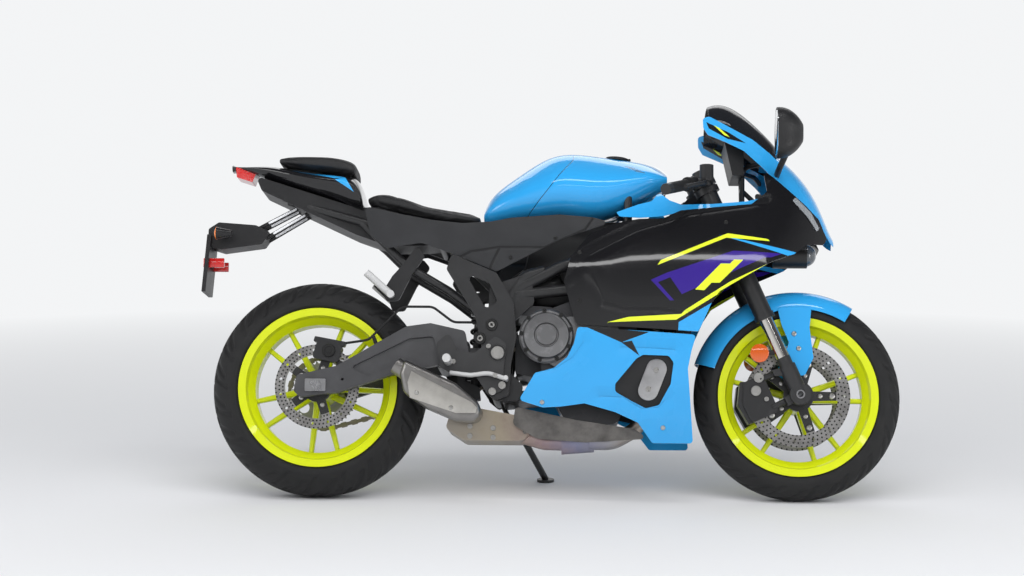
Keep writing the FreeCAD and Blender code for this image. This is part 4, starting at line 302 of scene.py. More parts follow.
# Moulded plastic with a fine spark-eroded grain and lighter handling marks
def grained(name, colour, scale, strength, rough, distance=0.0004, lines=None, painted=None):
    paint = Paint(name)
    grain = paint.node("ShaderNodeTexVoronoi", {"feature": "F1"}, {"Vector": paint.spot(), "Scale": scale})
    marks = paint.noise(14.0, 5.0, 0.6)
    base = paint.mix(paint.range(marks, 0.45, 0.8, 0.0, 0.5), colour, tuple(min(1, c * 1.7) for c in colour))
    if painted:
        base = painted(paint, base)
    skin = paint.bump(grain, strength, distance)
    if lines:
        height, dark = seamed(paint, lines, grain, grooves["coverJoint"])
        base = paint.mix(dark, base, colours["black"])
        skin = paint.bump(height, 0.9, 0.0025, skin)
    return paint.shader(Base_Color=base, Roughness=paint.range(marks, 0.3, 0.8, rough * 0.8, rough),
                        Normal=skin, Specular_IOR_Level=0.4)


# Amber lenses on the rear ends of the indicators
def rearLensArt(paint, base):
    x, y, z = paint.uprightAxes()
    return paint.mix(x < limits["rearLens"], base, colours["amber"])


# Painted highlight: a white line along the middle of each of the plate holder's struts
struts = [[(-160, 811), (-84, 852)], [(-146, 780), (-58, 833)]]


def paintedStrutHighlight(paint, base):
    x, y, z = paint.uprightAxes()
    mask = anyOf(paint, [nearLine(paint, x, z, strut) < limits["highlightHalfWidth"] for strut in struts])
    return paint.mix(mask, base, colours["highlightWhite"])


# Bare metal where pegs and pedals stand out from their plates
def pegArt(side):
    def art(paint, base):
        x, y, z = paint.uprightAxes()
        return paint.mix(paint.maths("ABSOLUTE", y) > side, base, colours["bare"])
    return art


def satinPaint(name, colour, rough=0.38, metallic=0.0, bumpScale=160.0):
    paint = Paint(name)
    cast = paint.noise(bumpScale, 3.0)
    wear = paint.noise(30.0, 5.0, 0.65)
    worn = tuple(min(1, c * 2.2 + 0.01) for c in colour)
    base = paint.mix(paint.range(wear, 0.55, 0.85, 0.0, 0.6), colour, worn)
    return paint.shader(Base_Color=base, Metallic=metallic, Coat_Weight=0.15, Normal=paint.bump(cast, 0.12, 0.0006),
                        Roughness=paint.range(wear, 0.3, 0.8, rough, rough + 0.15))


# Metal with drawn scratches, smudges and, on the exhaust, heat colours from its rear to its front
def bareMetal(name, colour, rough=0.3, brushed=(1, 1, 1), heat=None):
    paint = Paint(name)
    stretched = paint.node("ShaderNodeMapping", {}, {0: paint.spot(), 3: brushed})
    lines = paint.noise(600.0, 2.0, 0.5, stretched)
    smudge = paint.noise(22.0, 4.0, 0.6)
    base = paint.mix(paint.range(smudge, 0.4, 0.75, 0.0, 0.5), colour, tuple(c * 0.6 for c in colour))
    if heat:
        x, y, z = paint.uprightAxes()
        tint = paint.ramp(paint.range(x + smudge * 0.12, heat["rear"], heat["front"]), heat["stops"])
        base = paint.mix(0.6, base, tint)
    return paint.shader(Base_Color=base, Metallic=1.0, Roughness=paint.range(smudge, 0.3, 0.8, rough, rough + 0.18),
                        Normal=paint.bump(lines, 0.1, 0.0003))


# rows of drillings round the braking bands, in metres
drilled = {"count": 30, "inner": 0.0835, "frontStep": 0.026, "pitch": 0.0105, "radius": 0.0026, "edge": 0.083,
           "twist": 0.33}


# Ground steel braking band round a black carrier, split by its distance from the nearer axle
def discFinish(name):
    paint = Paint(name)
    x, y, z = paint.uprightAxes()
    ahead = x > limits["frontDisc"]
    dx = x - ahead * (frontAxle.x / 1000)
    dz = z - (ahead * ((frontAxle.z - rearAxle.z) / 1000) + rearAxle.z / 1000)
    radius = paint.maths("SQRT", dx * dx + dz * dz)
    rings = paint.noise(1.0, 2.0, 0.5, paint.node("ShaderNodeCombineXYZ", {}, {0: radius * 2600.0}))
    turn = paint.maths("ARCTAN2", dz, dx) * (drilled["count"] / math.pi)
    row = (radius - (ahead * drilled["frontStep"] + drilled["inner"])) * (1 / drilled["pitch"])
    part = paint.maths("FRACT", turn + paint.maths("FLOOR", row) * drilled["twist"] + 50.0) - 0.5
    across = paint.maths("FRACT", row) - 0.5
    wide = radius * (math.pi / drilled["count"])
    hole = paint.maths("SQRT", paint.maths("POWER", part * wide, 2.0)
                       + paint.maths("POWER", across * drilled["pitch"], 2.0)) < drilled["radius"]
    band = radius > (ahead * drilled["frontStep"] + drilled["edge"])
    smudge = paint.noise(26.0, 4.0)
    steel = paint.mix(paint.range(smudge, 0.35, 0.7), (0.46, 0.45, 0.44), (0.3, 0.29, 0.28))
    bored = hole * band
    base = paint.mix(bored, paint.mix(band, (0.02, 0.02, 0.02), steel), (0.006, 0.006, 0.006))
    return paint.shader(Base_Color=base, Metallic=band - bored, Roughness=paint.range(rings, 0.3, 0.7, 0.22, 0.4),
                        Normal=paint.bump(rings, 0.1, 0.0003))


# Pressed heat shield with a pattern of dimples
def hammered(name, colour):
    paint = Paint(name)
    cells = paint.node("ShaderNodeTexVoronoi", {"feature": "SMOOTH_F1"}, {"Vector": paint.spot(), "Scale": 90.0})
    soot = paint.noise(20.0, 5.0, 0.6)
    base = paint.mix(paint.range(soot, 0.35, 0.75), colour, tuple(c * 0.45 for c in colour))
    return paint.shader(Base_Color=base, Metallic=0.8, Roughness=paint.range(soot, 0.3, 0.8, 0.34, 0.55),
                        Normal=paint.bump(cells, 0.6, 0.002))


# Chromed tube that ends in a dark axle clamp, split by height along the fork
def forkFinish(name):
    paint = Paint(name)
    x, y, z = paint.uprightAxes()
    along = (x * steerUp.x + z * steerUp.z) - (frontAxle / 1000).dot(steerUp)
    tube = along > limits["forkClamp"]
    film = paint.noise(60.0, 3.0)
    base = paint.mix(tube, (0.022, 0.022, 0.023), (0.62, 0.6, 0.57))
    return paint.shader(Base_Color=base, Metallic=tube, Roughness=paint.range(tube, 0.0, 1.0, 0.4, 0.1),
                        Normal=paint.bump(film, 0.05, 0.0004))


# Black barrel with a glossy pale front lens
def lampFinish(name):
    paint = Paint(name)
    x, y, z = paint.uprightAxes()
    front = x > limits["lampLens"]
    rings = paint.noise(90.0, 2.0)
    base = paint.mix(front, (0.012, 0.012, 0.012), (0.09, 0.1, 0.11))
    return paint.shader(Base_Color=base, Roughness=paint.range(front, 0.0, 1.0, 0.4, 0.05),
                        Coat_Weight=paint.range(front, 0.0, 1.0), Normal=paint.bump(rings, 0.05, 0.0004))


# Black rubber, dusty on the tread and smoother on the walls
def tyreFinish(name):
    paint = Paint(name)
    dust = paint.noise(18.0, 5.0, 0.6)
    fine = paint.noise(700.0, 2.0)
    base = paint.mix(paint.range(dust, 0.45, 0.85, 0.0, 0.5), colours["rubber"], (0.034, 0.033, 0.032))
    return paint.shader(Base_Color=base, Roughness=paint.range(dust, 0.3, 0.8, 0.55, 0.78),
                        Normal=paint.bump(fine, 0.12, 0.0004), Specular_IOR_Level=0.35)


# Grained vinyl
def seatFinish(name):
    paint = Paint(name)
    cells = paint.node("ShaderNodeTexVoronoi", {"feature": "DISTANCE_TO_EDGE"},
                       {"Vector": paint.spot(), "Scale": 520.0})
    sheen = paint.noise(10.0, 4.0)
    grain = paint.range(cells, 0.0, 0.12)
    base = paint.mix(paint.range(sheen, 0.4, 0.8, 0.0, 0.5), colours["seat"], (0.03, 0.03, 0.031))
    return paint.shader(Base_Color=base, Roughness=paint.range(sheen, 0.3, 0.8, 0.46, 0.62),
                        Normal=paint.bump(grain, 0.35, 0.0003), Specular_IOR_Level=0.4)


# Ribbed lens, or a coloured plastic when nothing shines through it
def lens(name, colour, rough=0.08, transmission=0.0):
    paint = Paint(name)
    ribs = paint.node("ShaderNodeTexWave", {"wave_type": "BANDS", "bands_direction": "X"},
                      {"Vector": paint.spot(), "Scale": 55.0})
    base = paint.mix(paint.range(ribs, 0.0, 1.0, 0.0, 0.35), colour, tuple(c * 0.7 for c in colour))
    return paint.shader(Base_Color=base, Roughness=rough, Coat_Weight=1.0, Normal=paint.bump(ribs, 0.15, 0.0006),
                        Transmission_Weight=transmission)


# Dark smoked screen, thin enough to show what is behind it
def screenFinish(name):
    paint = Paint(name)
    haze = paint.noise(12.0, 3.0)
    return paint.shader(Base_Color=(0.012, 0.013, 0.016), Roughness=paint.range(haze, 0.3, 0.8, 0.03, 0.09),
                        Alpha=0.84, Coat_Weight=0.3, Specular_IOR_Level=0.25)


# Rows of fins between flat tubes
def radiatorFinish(name):
    paint = Paint(name)
    x, y, z = paint.uprightAxes()
    fins = paint.maths("PINGPONG", y, 0.0016) * 600.0
    tubes = paint.maths("PINGPONG", z, 0.006) > 0.0046
    base = paint.mix(tubes, (0.05, 0.05, 0.052), (0.012, 0.012, 0.012))
    return paint.shader(Base_Color=base, Metallic=0.6, Roughness=0.45, Normal=paint.bump(fins, 0.8, 0.002))


heatColours = {
    "rear": 0.36, "front": 1.02,
    "stops": ((0.0, (0.42, 0.38, 0.33)), (0.35, (0.55, 0.44, 0.27)), (0.55, (0.36, 0.2, 0.2)),
              (0.7, (0.16, 0.17, 0.34)), (0.85, (0.35, 0.33, 0.34)), (1.0, (0.4, 0.31, 0.2))),
}
# each finish: how it is made, the nodes that wear it and its settings
recipes = {
    "bluePaint": (gloss, "tank_cowls front_fender", dict(colour=colours["blue"])),
    "fairingPaint": (gloss, "upper_fairing_right upper_fairing_left",
                     dict(colour=colours["black"], decal="fairing", rough=0.12, creases="fairing")),
    "lowerPaint": (gloss, "lower_fairing_right lower_fairing_left",
                   dict(colour=colours["blue"], decal="lower", creases="lower")),
    "nosePaint": (gloss, "nose_cowl", dict(colour=colours["blue"], decal="nose")),
    "tailPaint": (gloss, "tail_cowl", dict(colour=colours["black"], decal="tail", rough=0.14)),
    "limePaint": (gloss, "front_rim rear_rim", dict(colour=colours["lime"], rough=0.34, coat=0.6)),
    "tankPaint": (gloss, "fuel_tank", dict(colour=colours["blue"], lines="tank")),
    "greyCover": (grained, "side_covers",
                  dict(colour=colours["greyMatt"], scale=900.0, strength=0.25, rough=0.5, lines="sideCover")),
    "armPaint": (grained, "swingarm", dict(colour=(0.05, 0.05, 0.053), scale=1200.0, strength=0.1, rough=0.42)),
    "pivotPlastic": (grained, "pivot_covers",
                     dict(colour=(0.02, 0.02, 0.021), scale=1000.0, strength=0.2, rough=0.45)),
    "indicatorPlastic": (grained, "rear_indicators",
                         dict(colour=colours["blackMatt"], scale=1100.0, strength=0.1, rough=0.3,
                              painted=rearLensArt)),
    # the plate holder's struts carry a painted white highlight
    "holderPlastic": (grained, "plate_holder",
                      dict(colour=colours["blackMatt"], scale=1100.0, strength=0.2, rough=0.45, painted=paintedStrutHighlight)),
    "restAlloy": (grained, "rearset_right rearset_left",
                  dict(colour=(0.03, 0.03, 0.031), scale=700.0, strength=0.1, rough=0.4,
                       painted=pegArt(limits["riderPegs"]))),
    "hangerAlloy": (grained, "passenger_hangers",
                    dict(colour=(0.015, 0.015, 0.016), scale=700.0, strength=0.1, rough=0.4,
                         painted=pegArt(limits["passengerPegs"]))),
    "blackPlastic": (grained, "undertail instrument_panel mirrors hand_controls fuel_cap",
                     dict(colour=colours["blackMatt"], scale=1100.0, strength=0.22, rough=0.5)),
    "gripRubber": (grained, "brake_hoses grips",
                   dict(colour=colours["rubber"], scale=500.0, strength=0.5, rough=0.75, distance=0.001)),
    "framePaint": (satinPaint, "frame subframe shock_absorber fairing_stay rear_caliper triple_clamps fork_tubes "
                               "front_calipers handlebars side_stand", dict(colour=colours["frameBlack"])),
    "engineCast": (satinPaint, "engine", dict(colour=colours["engine"], rough=0.42, metallic=0.45, bumpScale=260.0)),
    "coverCast": (satinPaint, "clutch_cover generator_cover",
                  dict(colour=(0.2, 0.2, 0.205), rough=0.3, metallic=0.9, bumpScale=90.0)),
    "boltBlack": (satinPaint, "", dict(colour=(0.02, 0.02, 0.02), rough=0.35, metallic=0.5)),
    "boltSteel": (bareMetal, "", dict(colour=(0.55, 0.54, 0.52), rough=0.25)),
    "mirrorGlass": (bareMetal, "", dict(colour=(0.8, 0.82, 0.84), rough=0.03)),
    "alloyCast": (bareMetal, "", dict(colour=colours["alloy"], rough=0.34)),
    "canSteel": (bareMetal, "", dict(colour=(0.6, 0.58, 0.54), brushed=(1, 9, 1))),
    "shellSteel": (bareMetal, "muffler", dict(colour=(0.3, 0.29, 0.28), rough=0.32, brushed=(1, 9, 1))),
    "drawnSteel": (bareMetal, "rear_axle front_axle rear_sprocket",
                   dict(colour=colours["steel"], rough=0.24, brushed=(1, 12, 1))),
    "exhaustSteel": (bareMetal, "exhaust_pipes", dict(colour=colours["steel"], brushed=(1, 1, 8), heat=heatColours)),
    "chainSteel": (bareMetal, "chain", dict(colour=(0.34, 0.31, 0.26), rough=0.4)),
    "shieldSteel": (hammered, "heat_shield", dict(colour=(0.2, 0.19, 0.18))),
    "discSteel": (discFinish, "front_discs rear_disc", {}),
    "forkSteel": (forkFinish, "fork_sliders", {}),
    "finPack": (radiatorFinish, "radiator", {}),
    "lampGlass": (lampFinish, "headlight", {}),
    "tyreRubber": (tyreFinish, "front_tyre rear_tyre", {}),
    "seatVinyl": (seatFinish, "rider_seat pillion_seat", {}),
    "smokedScreen": (screenFinish, "windscreen", {}),
    "clearLens": (lens, "running_lights", dict(colour=(0.82, 0.86, 0.9), rough=0.05, transmission=0.75)),
    "redLens": (lens, "tail_light", dict(colour=(0.55, 0.012, 0.01))),
    "amberLens": (lens, "", dict(colour=(0.62, 0.1, 0.006))),
    "redSwitch": (lens, "", dict(colour=(0.6, 0.01, 0.008), rough=0.3)),
}
finishes = {}
for name, (maker, wearers, settings) in recipes.items():
    finishes[name] = maker(name, **settings)
    for node in wearers.split():
        mesh = nodes[node].data
        mesh.materials.clear()
        mesh.materials.append(finishes[name])
print("finishes:", len(finishes))


# making pieces

# the two sides of the bike, as signs and words
sideWords = ((-1, "right"), (1, "left"))
# corners closer than this are one, in metres
weld = 1e-6


# Object in the scene for a mesh, a lamp or a camera
def placed(name, data):
    made = bpy.data.objects.new(name, data)
    bpy.context.scene.collection.objects.link(made)
    return made


# Put a finished mesh, already in the part's frame, on its body
def newPiece(name, mesh, finish, body, replaced=()):
    mesh.materials.clear()
    mesh.materials.append(finishes[finish])
    piece = placed(name, mesh)
    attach(piece, body)
    if replaced:
        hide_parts(*replaced)
    return piece


# Mesh from points in upright millimetres
def uprightMesh(name, points, faces, smooth=True):
    mesh = bpy.data.meshes.new(name)
    mesh.from_pydata([toFrame @ (Vector(point) / 1000) for point in points], [], faces)
    mesh.update()
    fixed = bmesh.new()
    fixed.from_mesh(mesh)
    bmesh.ops.remove_doubles(fixed, verts=fixed.verts, dist=weld)
    bmesh.ops.recalc_face_normals(fixed, faces=fixed.faces)
    fixed.to_mesh(mesh)
    fixed.free()
    for polygon in mesh.polygons:
        polygon.use_smooth = smooth
    return mesh


# Plain mesh of an object with its modifiers
def applied(piece):
    ready = piece.evaluated_get(bpy.context.evaluated_depsgraph_get())
    mesh = bpy.data.meshes.new_from_object(ready)
    mesh.name = piece.name
    return mesh


# Points and faces of a closed skin through rows of the same number of points
def ringGrid(rows, capped=True):
    points = [point for row in rows for point in row]
    wide = len(rows[0])
    faces = []
    for i in range(len(rows) - 1):
        for j in range(wide):
            k = (j + 1) % wide
            faces.append((i * wide + j, i * wide + k, (i + 1) * wide + k, (i + 1) * wide + j))
    if capped:
        faces.append(tuple(range(wide)))
        faces.append(tuple((len(rows) - 1) * wide + j for j in reversed(range(wide))))
    return points, faces


# Faces between two outlines that have the same count of corners
def prismFaces(count):
    faces = [tuple(range(count)), tuple(reversed(range(count, 2 * count)))]
    return faces + [(i, (i + 1) % count, (i + 1) % count + count, i + count) for i in range(count)]


def smoothStep(value, low, high):
    share = min(1.0, max(0.0, (value - low) / (high - low)))
    return share * share * (3 - 2 * share)


# tyres with their tread cut in

frontTyre = {
    "node": "front_tyre", "body": "front_wheel", "axle": frontAxle, "radius": 300.0, "halfWidth": 60.0,
    "rimHalfWidth": 57.0, "around": 600, "across": 64, "groove": 3.2, "pitch": 18,
}
rearTyre = {
    "node": "rear_tyre", "body": "rear_wheel", "axle": rearAxle, "radius": 315.0, "halfWidth": 90.0,
    "rimHalfWidth": 79.0, "around": 620, "across": 76, "groove": 3.6, "pitch": 20,
}
tyreShape = {
    "lipRadius": 232.0, "seatRadius": 217.0, "gap": 0.5, "lip": 5.5, "crownEnd": 72.0, "bulge": 4.0, "flankSteps": 12,
    "wallRing": 0.96, "ringPlaces": (4, 6, 8, 10),
}
# each sweep of grooves: its place round the tyre, its slant, its ends across the tread and its width
tread = {
    "sweeps": [(0.0, 0.9, 0.1, 0.82, 0.13), (0.5, 0.62, 0.32, 0.95, 0.11), (0.25, 1.1, 0.02, 0.4, 0.08)],
    "bend": 1.3, "runOut": 0.06, "flat": 0.45,
}


# Points of the circle through three points
def arcThrough(first, middle, last, count):
    ax, ay = first
    bx, by = middle
    cx, cy = last
    d = 2 * (ax * (by - cy) + bx * (cy - ay) + cx * (ay - by))
    ux = ((ax * ax + ay * ay) * (by - cy) + (bx * bx + by * by) * (cy - ay) + (cx * cx + cy * cy) * (ay - by)) / d
    uy = ((ax * ax + ay * ay) * (cx - bx) + (bx * bx + by * by) * (ax - cx) + (cx * cx + cy * cy) * (bx - ax)) / d
    radius = math.hypot(ax - ux, ay - uy)
    start = math.atan2(ay - uy, ax - ux)
    end = math.atan2(cy - uy, cx - ux)
    mid = math.atan2(by - uy, bx - ux)
    turn = (end - start) % (2 * math.pi)
    if (mid - start) % (2 * math.pi) > turn:
        turn -= 2 * math.pi
    return [(ux + radius * math.cos(start + turn * i / count), uy + radius * math.sin(start + turn * i / count))
            for i in range(count + 1)]


# Slanted sweeping grooves, mirrored about the crown, deepest in their middles
def treadDepth(tyre, angle, side):
    pitch = 2 * math.pi / tyre["pitch"]
    share = abs(side)
    depth = 0.0
    for offset, slant, low, high, width in tread["sweeps"]:
        shift = offset + (0.5 if side < 0 else 0.0)
        along = ((angle / pitch + shift - share ** tread["bend"] * slant) % 1.0) - 0.5
        inside = smoothStep(share, low, low + tread["runOut"]) * (1 - smoothStep(share, high - tread["runOut"], high))
        depth = max(depth, inside * (1 - smoothStep(abs(along), width * tread["flat"], width)))
    return depth


# Section of a tyre as radius and side: its crown, then both walls down to the rim
def tyreSection(tyre):
    shape, half = tyreShape, tyre["halfWidth"]
    bead = tyre["rimHalfWidth"] - shape["lip"]
    beadTop = shape["lipRadius"] + shape["gap"]
    turn = math.radians(shape["crownEnd"])
    angles = [turn * (2 * i / tyre["across"] - 1) for i in range(tyre["across"] + 1)]
    crown = [(tyre["radius"] - half + half * math.cos(angle), half * math.sin(angle)) for angle in angles]
    shoulder = crown[-1]
    middle = ((shoulder[0] + beadTop) / 2, (shoulder[1] + bead) / 2 + shape["bulge"])
    wall = arcThrough(shoulder, middle, (beadTop, bead), shape["flankSteps"])[1:]
    wall.append((shape["seatRadius"] + shape["gap"], bead))
    return crown, wall + [(radius, -side) for radius, side in reversed(wall)]


def makeTyre(tyre):
    crown, walls = tyreSection(tyre)
    half = tyre["halfWidth"]
    centre = tyre["radius"] - half
    beadTop = tyreShape["lipRadius"] + tyreShape["gap"]
    ringStart, ringTop, ringFall, ringEnd = [beadTop + place for place in tyreShape["ringPlaces"]]
    rows = []
    for i in range(tyre["around"]):
        angle = 2 * math.pi * i / tyre["around"]
        section = []
        for j, (radius, side) in enumerate(crown):
            depth = tyre["groove"] * treadDepth(tyre, angle, 2 * j / (len(crown) - 1) - 1)
            section.append((radius - depth * (radius - centre) / half, side - depth * side / half))
        for radius, side in walls:
            raised = smoothStep(radius, ringStart, ringTop) * (1 - smoothStep(radius, ringFall, ringEnd))
            section.append((radius, side + math.copysign(tyreShape["wallRing"] * raised, side)))
        rows.append([tyre["axle"] + Vector((radius * math.cos(angle), side, radius * math.sin(angle)))
                     for radius, side in section])
    rows.append(rows[0])
    points, faces = ringGrid(rows, capped=False)
    name = tyre["node"] + "_dressed"
    newPiece(name, uprightMesh(name, points, faces), "tyreRubber", tyre["body"], (tyre["node"],))


for tyre in (frontTyre, rearTyre):
    makeTyre(tyre)
print("tyres cut")


# seats: padded shapes that swell under their covers

# stations are reach, half width, foot and crown; a seam is the distance from its line, in millimetres
riderSeat = {
    "name": "rider_pad", "node": "rider_seat", "waist": 0.42, "cap": 0.005,
    "stations": [(134, 86, 864, 882), (172, 104, 853, 889), (240, 121, 835, 872), (310, 127, 819, 847),
                 (390, 114, 807, 835), (446, 86, 804, 832), (468, 62, 810, 832)],
    "seams": [lambda x, y: x - 205 - 0.0022 * y * y,
              lambda x, y: abs(y) - 78 + (x - 300) * 0.12 if x < 420 else 99],
}
pillionSeat = {
    "name": "pillion_pad", "node": "pillion_seat", "waist": 0.35, "cap": 0.004,
    "stations": [(-136, 52, 986, 1004), (-60, 78, 973, 1005), (28, 95, 960, 1000), (84, 96, 949, 986),
                 (98, 88, 947, 968)],
    "seams": [lambda x, y: abs(y) - 58 - (x + 60) * 0.1 if x > -110 else 99],
}
padding = {
    "around": 28, "steps": 5, "sideRound": 0.55, "topRound": 0.7, "footRound": 0.45, "voxel": 0.005, "fill": 0.75,
    "pressure": 3.0, "quality": 5, "frames": 20, "seamWidth": 6.0, "seamDepth": 0.0022,
}


# Smooth curve through four values, between the middle two
def between(share, before, first, second, after):
    return 0.5 * (2 * first + (second - before) * share
                  + (2 * before - 5 * first + 4 * second - after) * share ** 2
                  + (3 * first - before - 3 * second + after) * share ** 3)


# Rounded sections through a pad, its underside flat and its top crowned
def padRows(seat):
    stations = seat["stations"]
    steps, around = padding["steps"], padding["around"]
    rows = []
    for i in range((len(stations) - 1) * steps + 1):
        index = min(i // steps, len(stations) - 2)
        near = [stations[min(max(0, index + k), len(stations) - 1)] for k in (-1, 0, 1, 2)]
        x, half, foot, crown = [between(i / steps - index, *four) for four in zip(*near)]
        waist = foot + (crown - foot) * seat["waist"]
        row = []
        for j in range(around):
            angle = 2 * math.pi * j / around
            lift = math.sin(angle)
            y = math.copysign(abs(math.cos(angle)) ** padding["sideRound"], math.cos(angle)) * half
            if lift > 0:
                z = waist + (crown - waist) * lift ** padding["topRound"]
            else:
                z = waist - (waist - foot) * (-lift) ** padding["footRound"]
            row.append((x, y, z))
        rows.append(row)
    return rows


# Even small faces, which the cloth can swell
def evened(pad):
    remesh = pad.modifiers.new("even", "REMESH")
    remesh.mode = "VOXEL"
    remesh.voxel_size = padding["voxel"]
    remesh.use_smooth_shade = True
    pad.data = applied(pad)
    pad.modifiers.clear()


# Blow the cover up as cloth, nowhere by more than the cap
def swell(pad, cap):
    start = [vertex.co.copy() for vertex in pad.data.vertices]
    cloth = pad.modifiers.new("swell", "CLOTH")
    cloth.settings.use_pressure = True
    cloth.settings.uniform_pressure_force = padding["pressure"]
    cloth.settings.effector_weights.gravity = 0
    cloth.settings.quality = padding["quality"]
    for step in range(1, padding["frames"] + 1):
        bpy.context.scene.frame_set(step)
    swollen = applied(pad)
    pad.modifiers.clear()
    for vertex, first in zip(swollen.vertices, start):
        moved = vertex.co - first
        if moved.length > cap:
            vertex.co = first + moved.normalized() * cap
    pad.data = swollen
    bpy.context.scene.frame_set(1)


def pressSeams(mesh, seams):
    for vertex in mesh.vertices:
        spot = toUpright @ vertex.co * 1000
        sink = max(1 - smoothStep(abs(seam(spot.x, spot.y)), 0.0, padding["seamWidth"]) for seam in seams)
        if sink:
            vertex.co -= vertex.normal * padding["seamDepth"] * sink


def makeSeat(seat):
    points, faces = ringGrid(padRows(seat))
    pad = placed(seat["name"], uprightMesh(seat["name"], points, faces))
    evened(pad)
    swell(pad, seat["cap"])
    pressSeams(pad.data, seat["seams"])
    fine = pad.modifiers.new("fine", "SUBSURF")
    fine.levels = fine.render_levels = 1
    done = applied(pad)
    bpy.data.objects.remove(pad)
    for polygon in done.polygons:
        polygon.use_smooth = True
    piece = newPiece(seat["name"], done, "seatVinyl", "chassis", (seat["node"],))


makeSeat(riderSeat)
makeSeat(pillionSeat)
print("seats padded")


# reading surfaces, so that trim sits on them

trees = {}
# rays start this far aside of the bike's middle, in millimetres
aside = 700.0


def learn(name, mesh):
    trees[name] = BVHTree.FromPolygons([vertex.co for vertex in mesh.vertices],
                                       [tuple(polygon.vertices) for polygon in mesh.polygons])


# Where a line across the bike first meets one of the named meshes, and which way that faces
def surfaceAt(names, reach, height, side):
    start = toFrame @ (Vector((reach, side * aside, height)) / 1000)
    along = (toFrame.to_3x3() @ Vector((0, -side, 0))).normalized()
    best = None
    for name in names:
        if name not in trees:
            learn(name, nodes[name].data)
        spot, normal, index, away = trees[name].ray_cast(start, along)
        if spot and (best is None or away < best[2]):
            best = (spot, normal if normal.dot(along) < 0 else -normal, away)
    return best[:2] if best else None


moulding = {"segments": 2, "roundFrom": 40.0, "sharpFrom": 35.0}


# Mesh with its hard edges rounded by a radius in millimetres
def moulded(name, mesh, edge):
    holder = placed(name, mesh)
    bevel = holder.modifiers.new("round", "BEVEL")
    bevel.width = edge / 1000
    bevel.segments = moulding["segments"]
    bevel.angle_limit = math.radians(moulding["roundFrom"])
    done = applied(holder)
    bpy.data.objects.remove(holder)
    for polygon in done.polygons:
        polygon.use_smooth = True
    done.set_sharp_from_angle(angle=math.radians(moulding["sharpFrom"]))
    return done


# Flat plate across the bike between two sides
def slab(name, outline, inner, outer, edge):
    points = [(x, inner, z) for x, z in outline] + [(x, outer, z) for x, z in outline]
    return moulded(name, uprightMesh(name, points, prismFaces(len(outline)), False), edge)


# Outline of a bar with round ends
def stadium(first, second, radius, around=12):
    turn = math.atan2(second[1] - first[1], second[0] - first[0])
    points = []
    for middle, start in ((second, turn - math.pi / 2), (first, turn + math.pi / 2)):
        for i in range(around + 1):
            angle = start + math.pi * i / around
            points.append((middle[0] + radius * math.cos(angle), middle[1] + radius * math.sin(angle)))
    return points


# Places round a circle, the first at a start in degrees
def ring(centre, radius, count, start=0.0):
    angles = [math.radians(start) + 2 * math.pi * i / count for i in range(count)]
    return [(centre[0] + radius * math.cos(angle), centre[1] + radius * math.sin(angle)) for angle in angles]


# screws: heads scattered over points that know their size and which way they face

# Turned head of unit radius; a ring marked hex is six sided
def headMesh(name, rings, around=24):
    points = []
    for radius, height, isHex in rings:
        for i in range(around):
            angle = 2 * math.pi * i / around
            across = radius
            if isHex:
                across *= math.cos(math.pi / 6) / math.cos(angle % (math.pi / 3) - math.pi / 6)
            points.append((across * math.cos(angle), across * math.sin(angle), height))
    faces = []
    for i in range(len(rings) - 1):
        for j in range(around):
            k = (j + 1) % around
            faces.append((i * around + j, i * around + k, (i + 1) * around + k, (i + 1) * around + j))
    faces.append(tuple((len(rings) - 1) * around + j for j in range(around)))
    mesh = bpy.data.meshes.new(name)
    mesh.from_pydata(points, [], faces)
    for polygon in mesh.polygons:
        polygon.use_smooth = True
    mesh.set_sharp_from_angle(angle=math.radians(30))
    return bpy.data.objects.new(name, mesh)


scatterNodes = {
    "entry": "NodeGroupInput", "head": "GeometryNodeObjectInfo", "facing": "GeometryNodeInputNamedAttribute",
    "size": "GeometryNodeInputNamedAttribute", "turn": "FunctionNodeAlignRotationToVector",
    "place": "GeometryNodeInstanceOnPoints", "real": "GeometryNodeRealizeInstances",
    "finish": "GeometryNodeSetMaterial", "leave": "NodeGroupOutput",
}
scatterLinks = [
    ("entry", "Points", "place", "Points"), ("entry", "Head", "head", "Object"),
    ("head", "Geometry", "place", "Instance"), ("facing", "Attribute", "turn", "Vector"),
    ("turn", "Rotation", "place", "Rotation"), ("size", "Attribute", "place", "Scale"),
    ("place", "Instances", "real", "Geometry"), ("real", "Geometry", "finish", "Geometry"),
    ("entry", "Finish", "finish", "Material"), ("finish", "Geometry", "leave", "Mesh"),
]


def scatterTree():
    tree = bpy.data.node_groups.new("scatterHeads", "GeometryNodeTree")
    sockets = {}
    for label, kind in (("Points", "Geometry"), ("Head", "Object"), ("Finish", "Material")):
        made = tree.interface.new_socket(label, in_out="INPUT", socket_type="NodeSocket" + kind)
        sockets[label] = made.identifier
    tree.interface.new_socket("Mesh", in_out="OUTPUT", socket_type="NodeSocketGeometry")
    made = {label: tree.nodes.new(kind) for label, kind in scatterNodes.items()}
    for label, kind in (("facing", "FLOAT_VECTOR"), ("size", "FLOAT")):
        made[label].data_type = kind
        made[label].inputs["Name"].default_value = label
    made["turn"].axis = "Z"
    for source, leaving, target, entering in scatterLinks:
        tree.links.new(made[source].outputs[leaving], made[target].inputs[entering])
    return tree, sockets


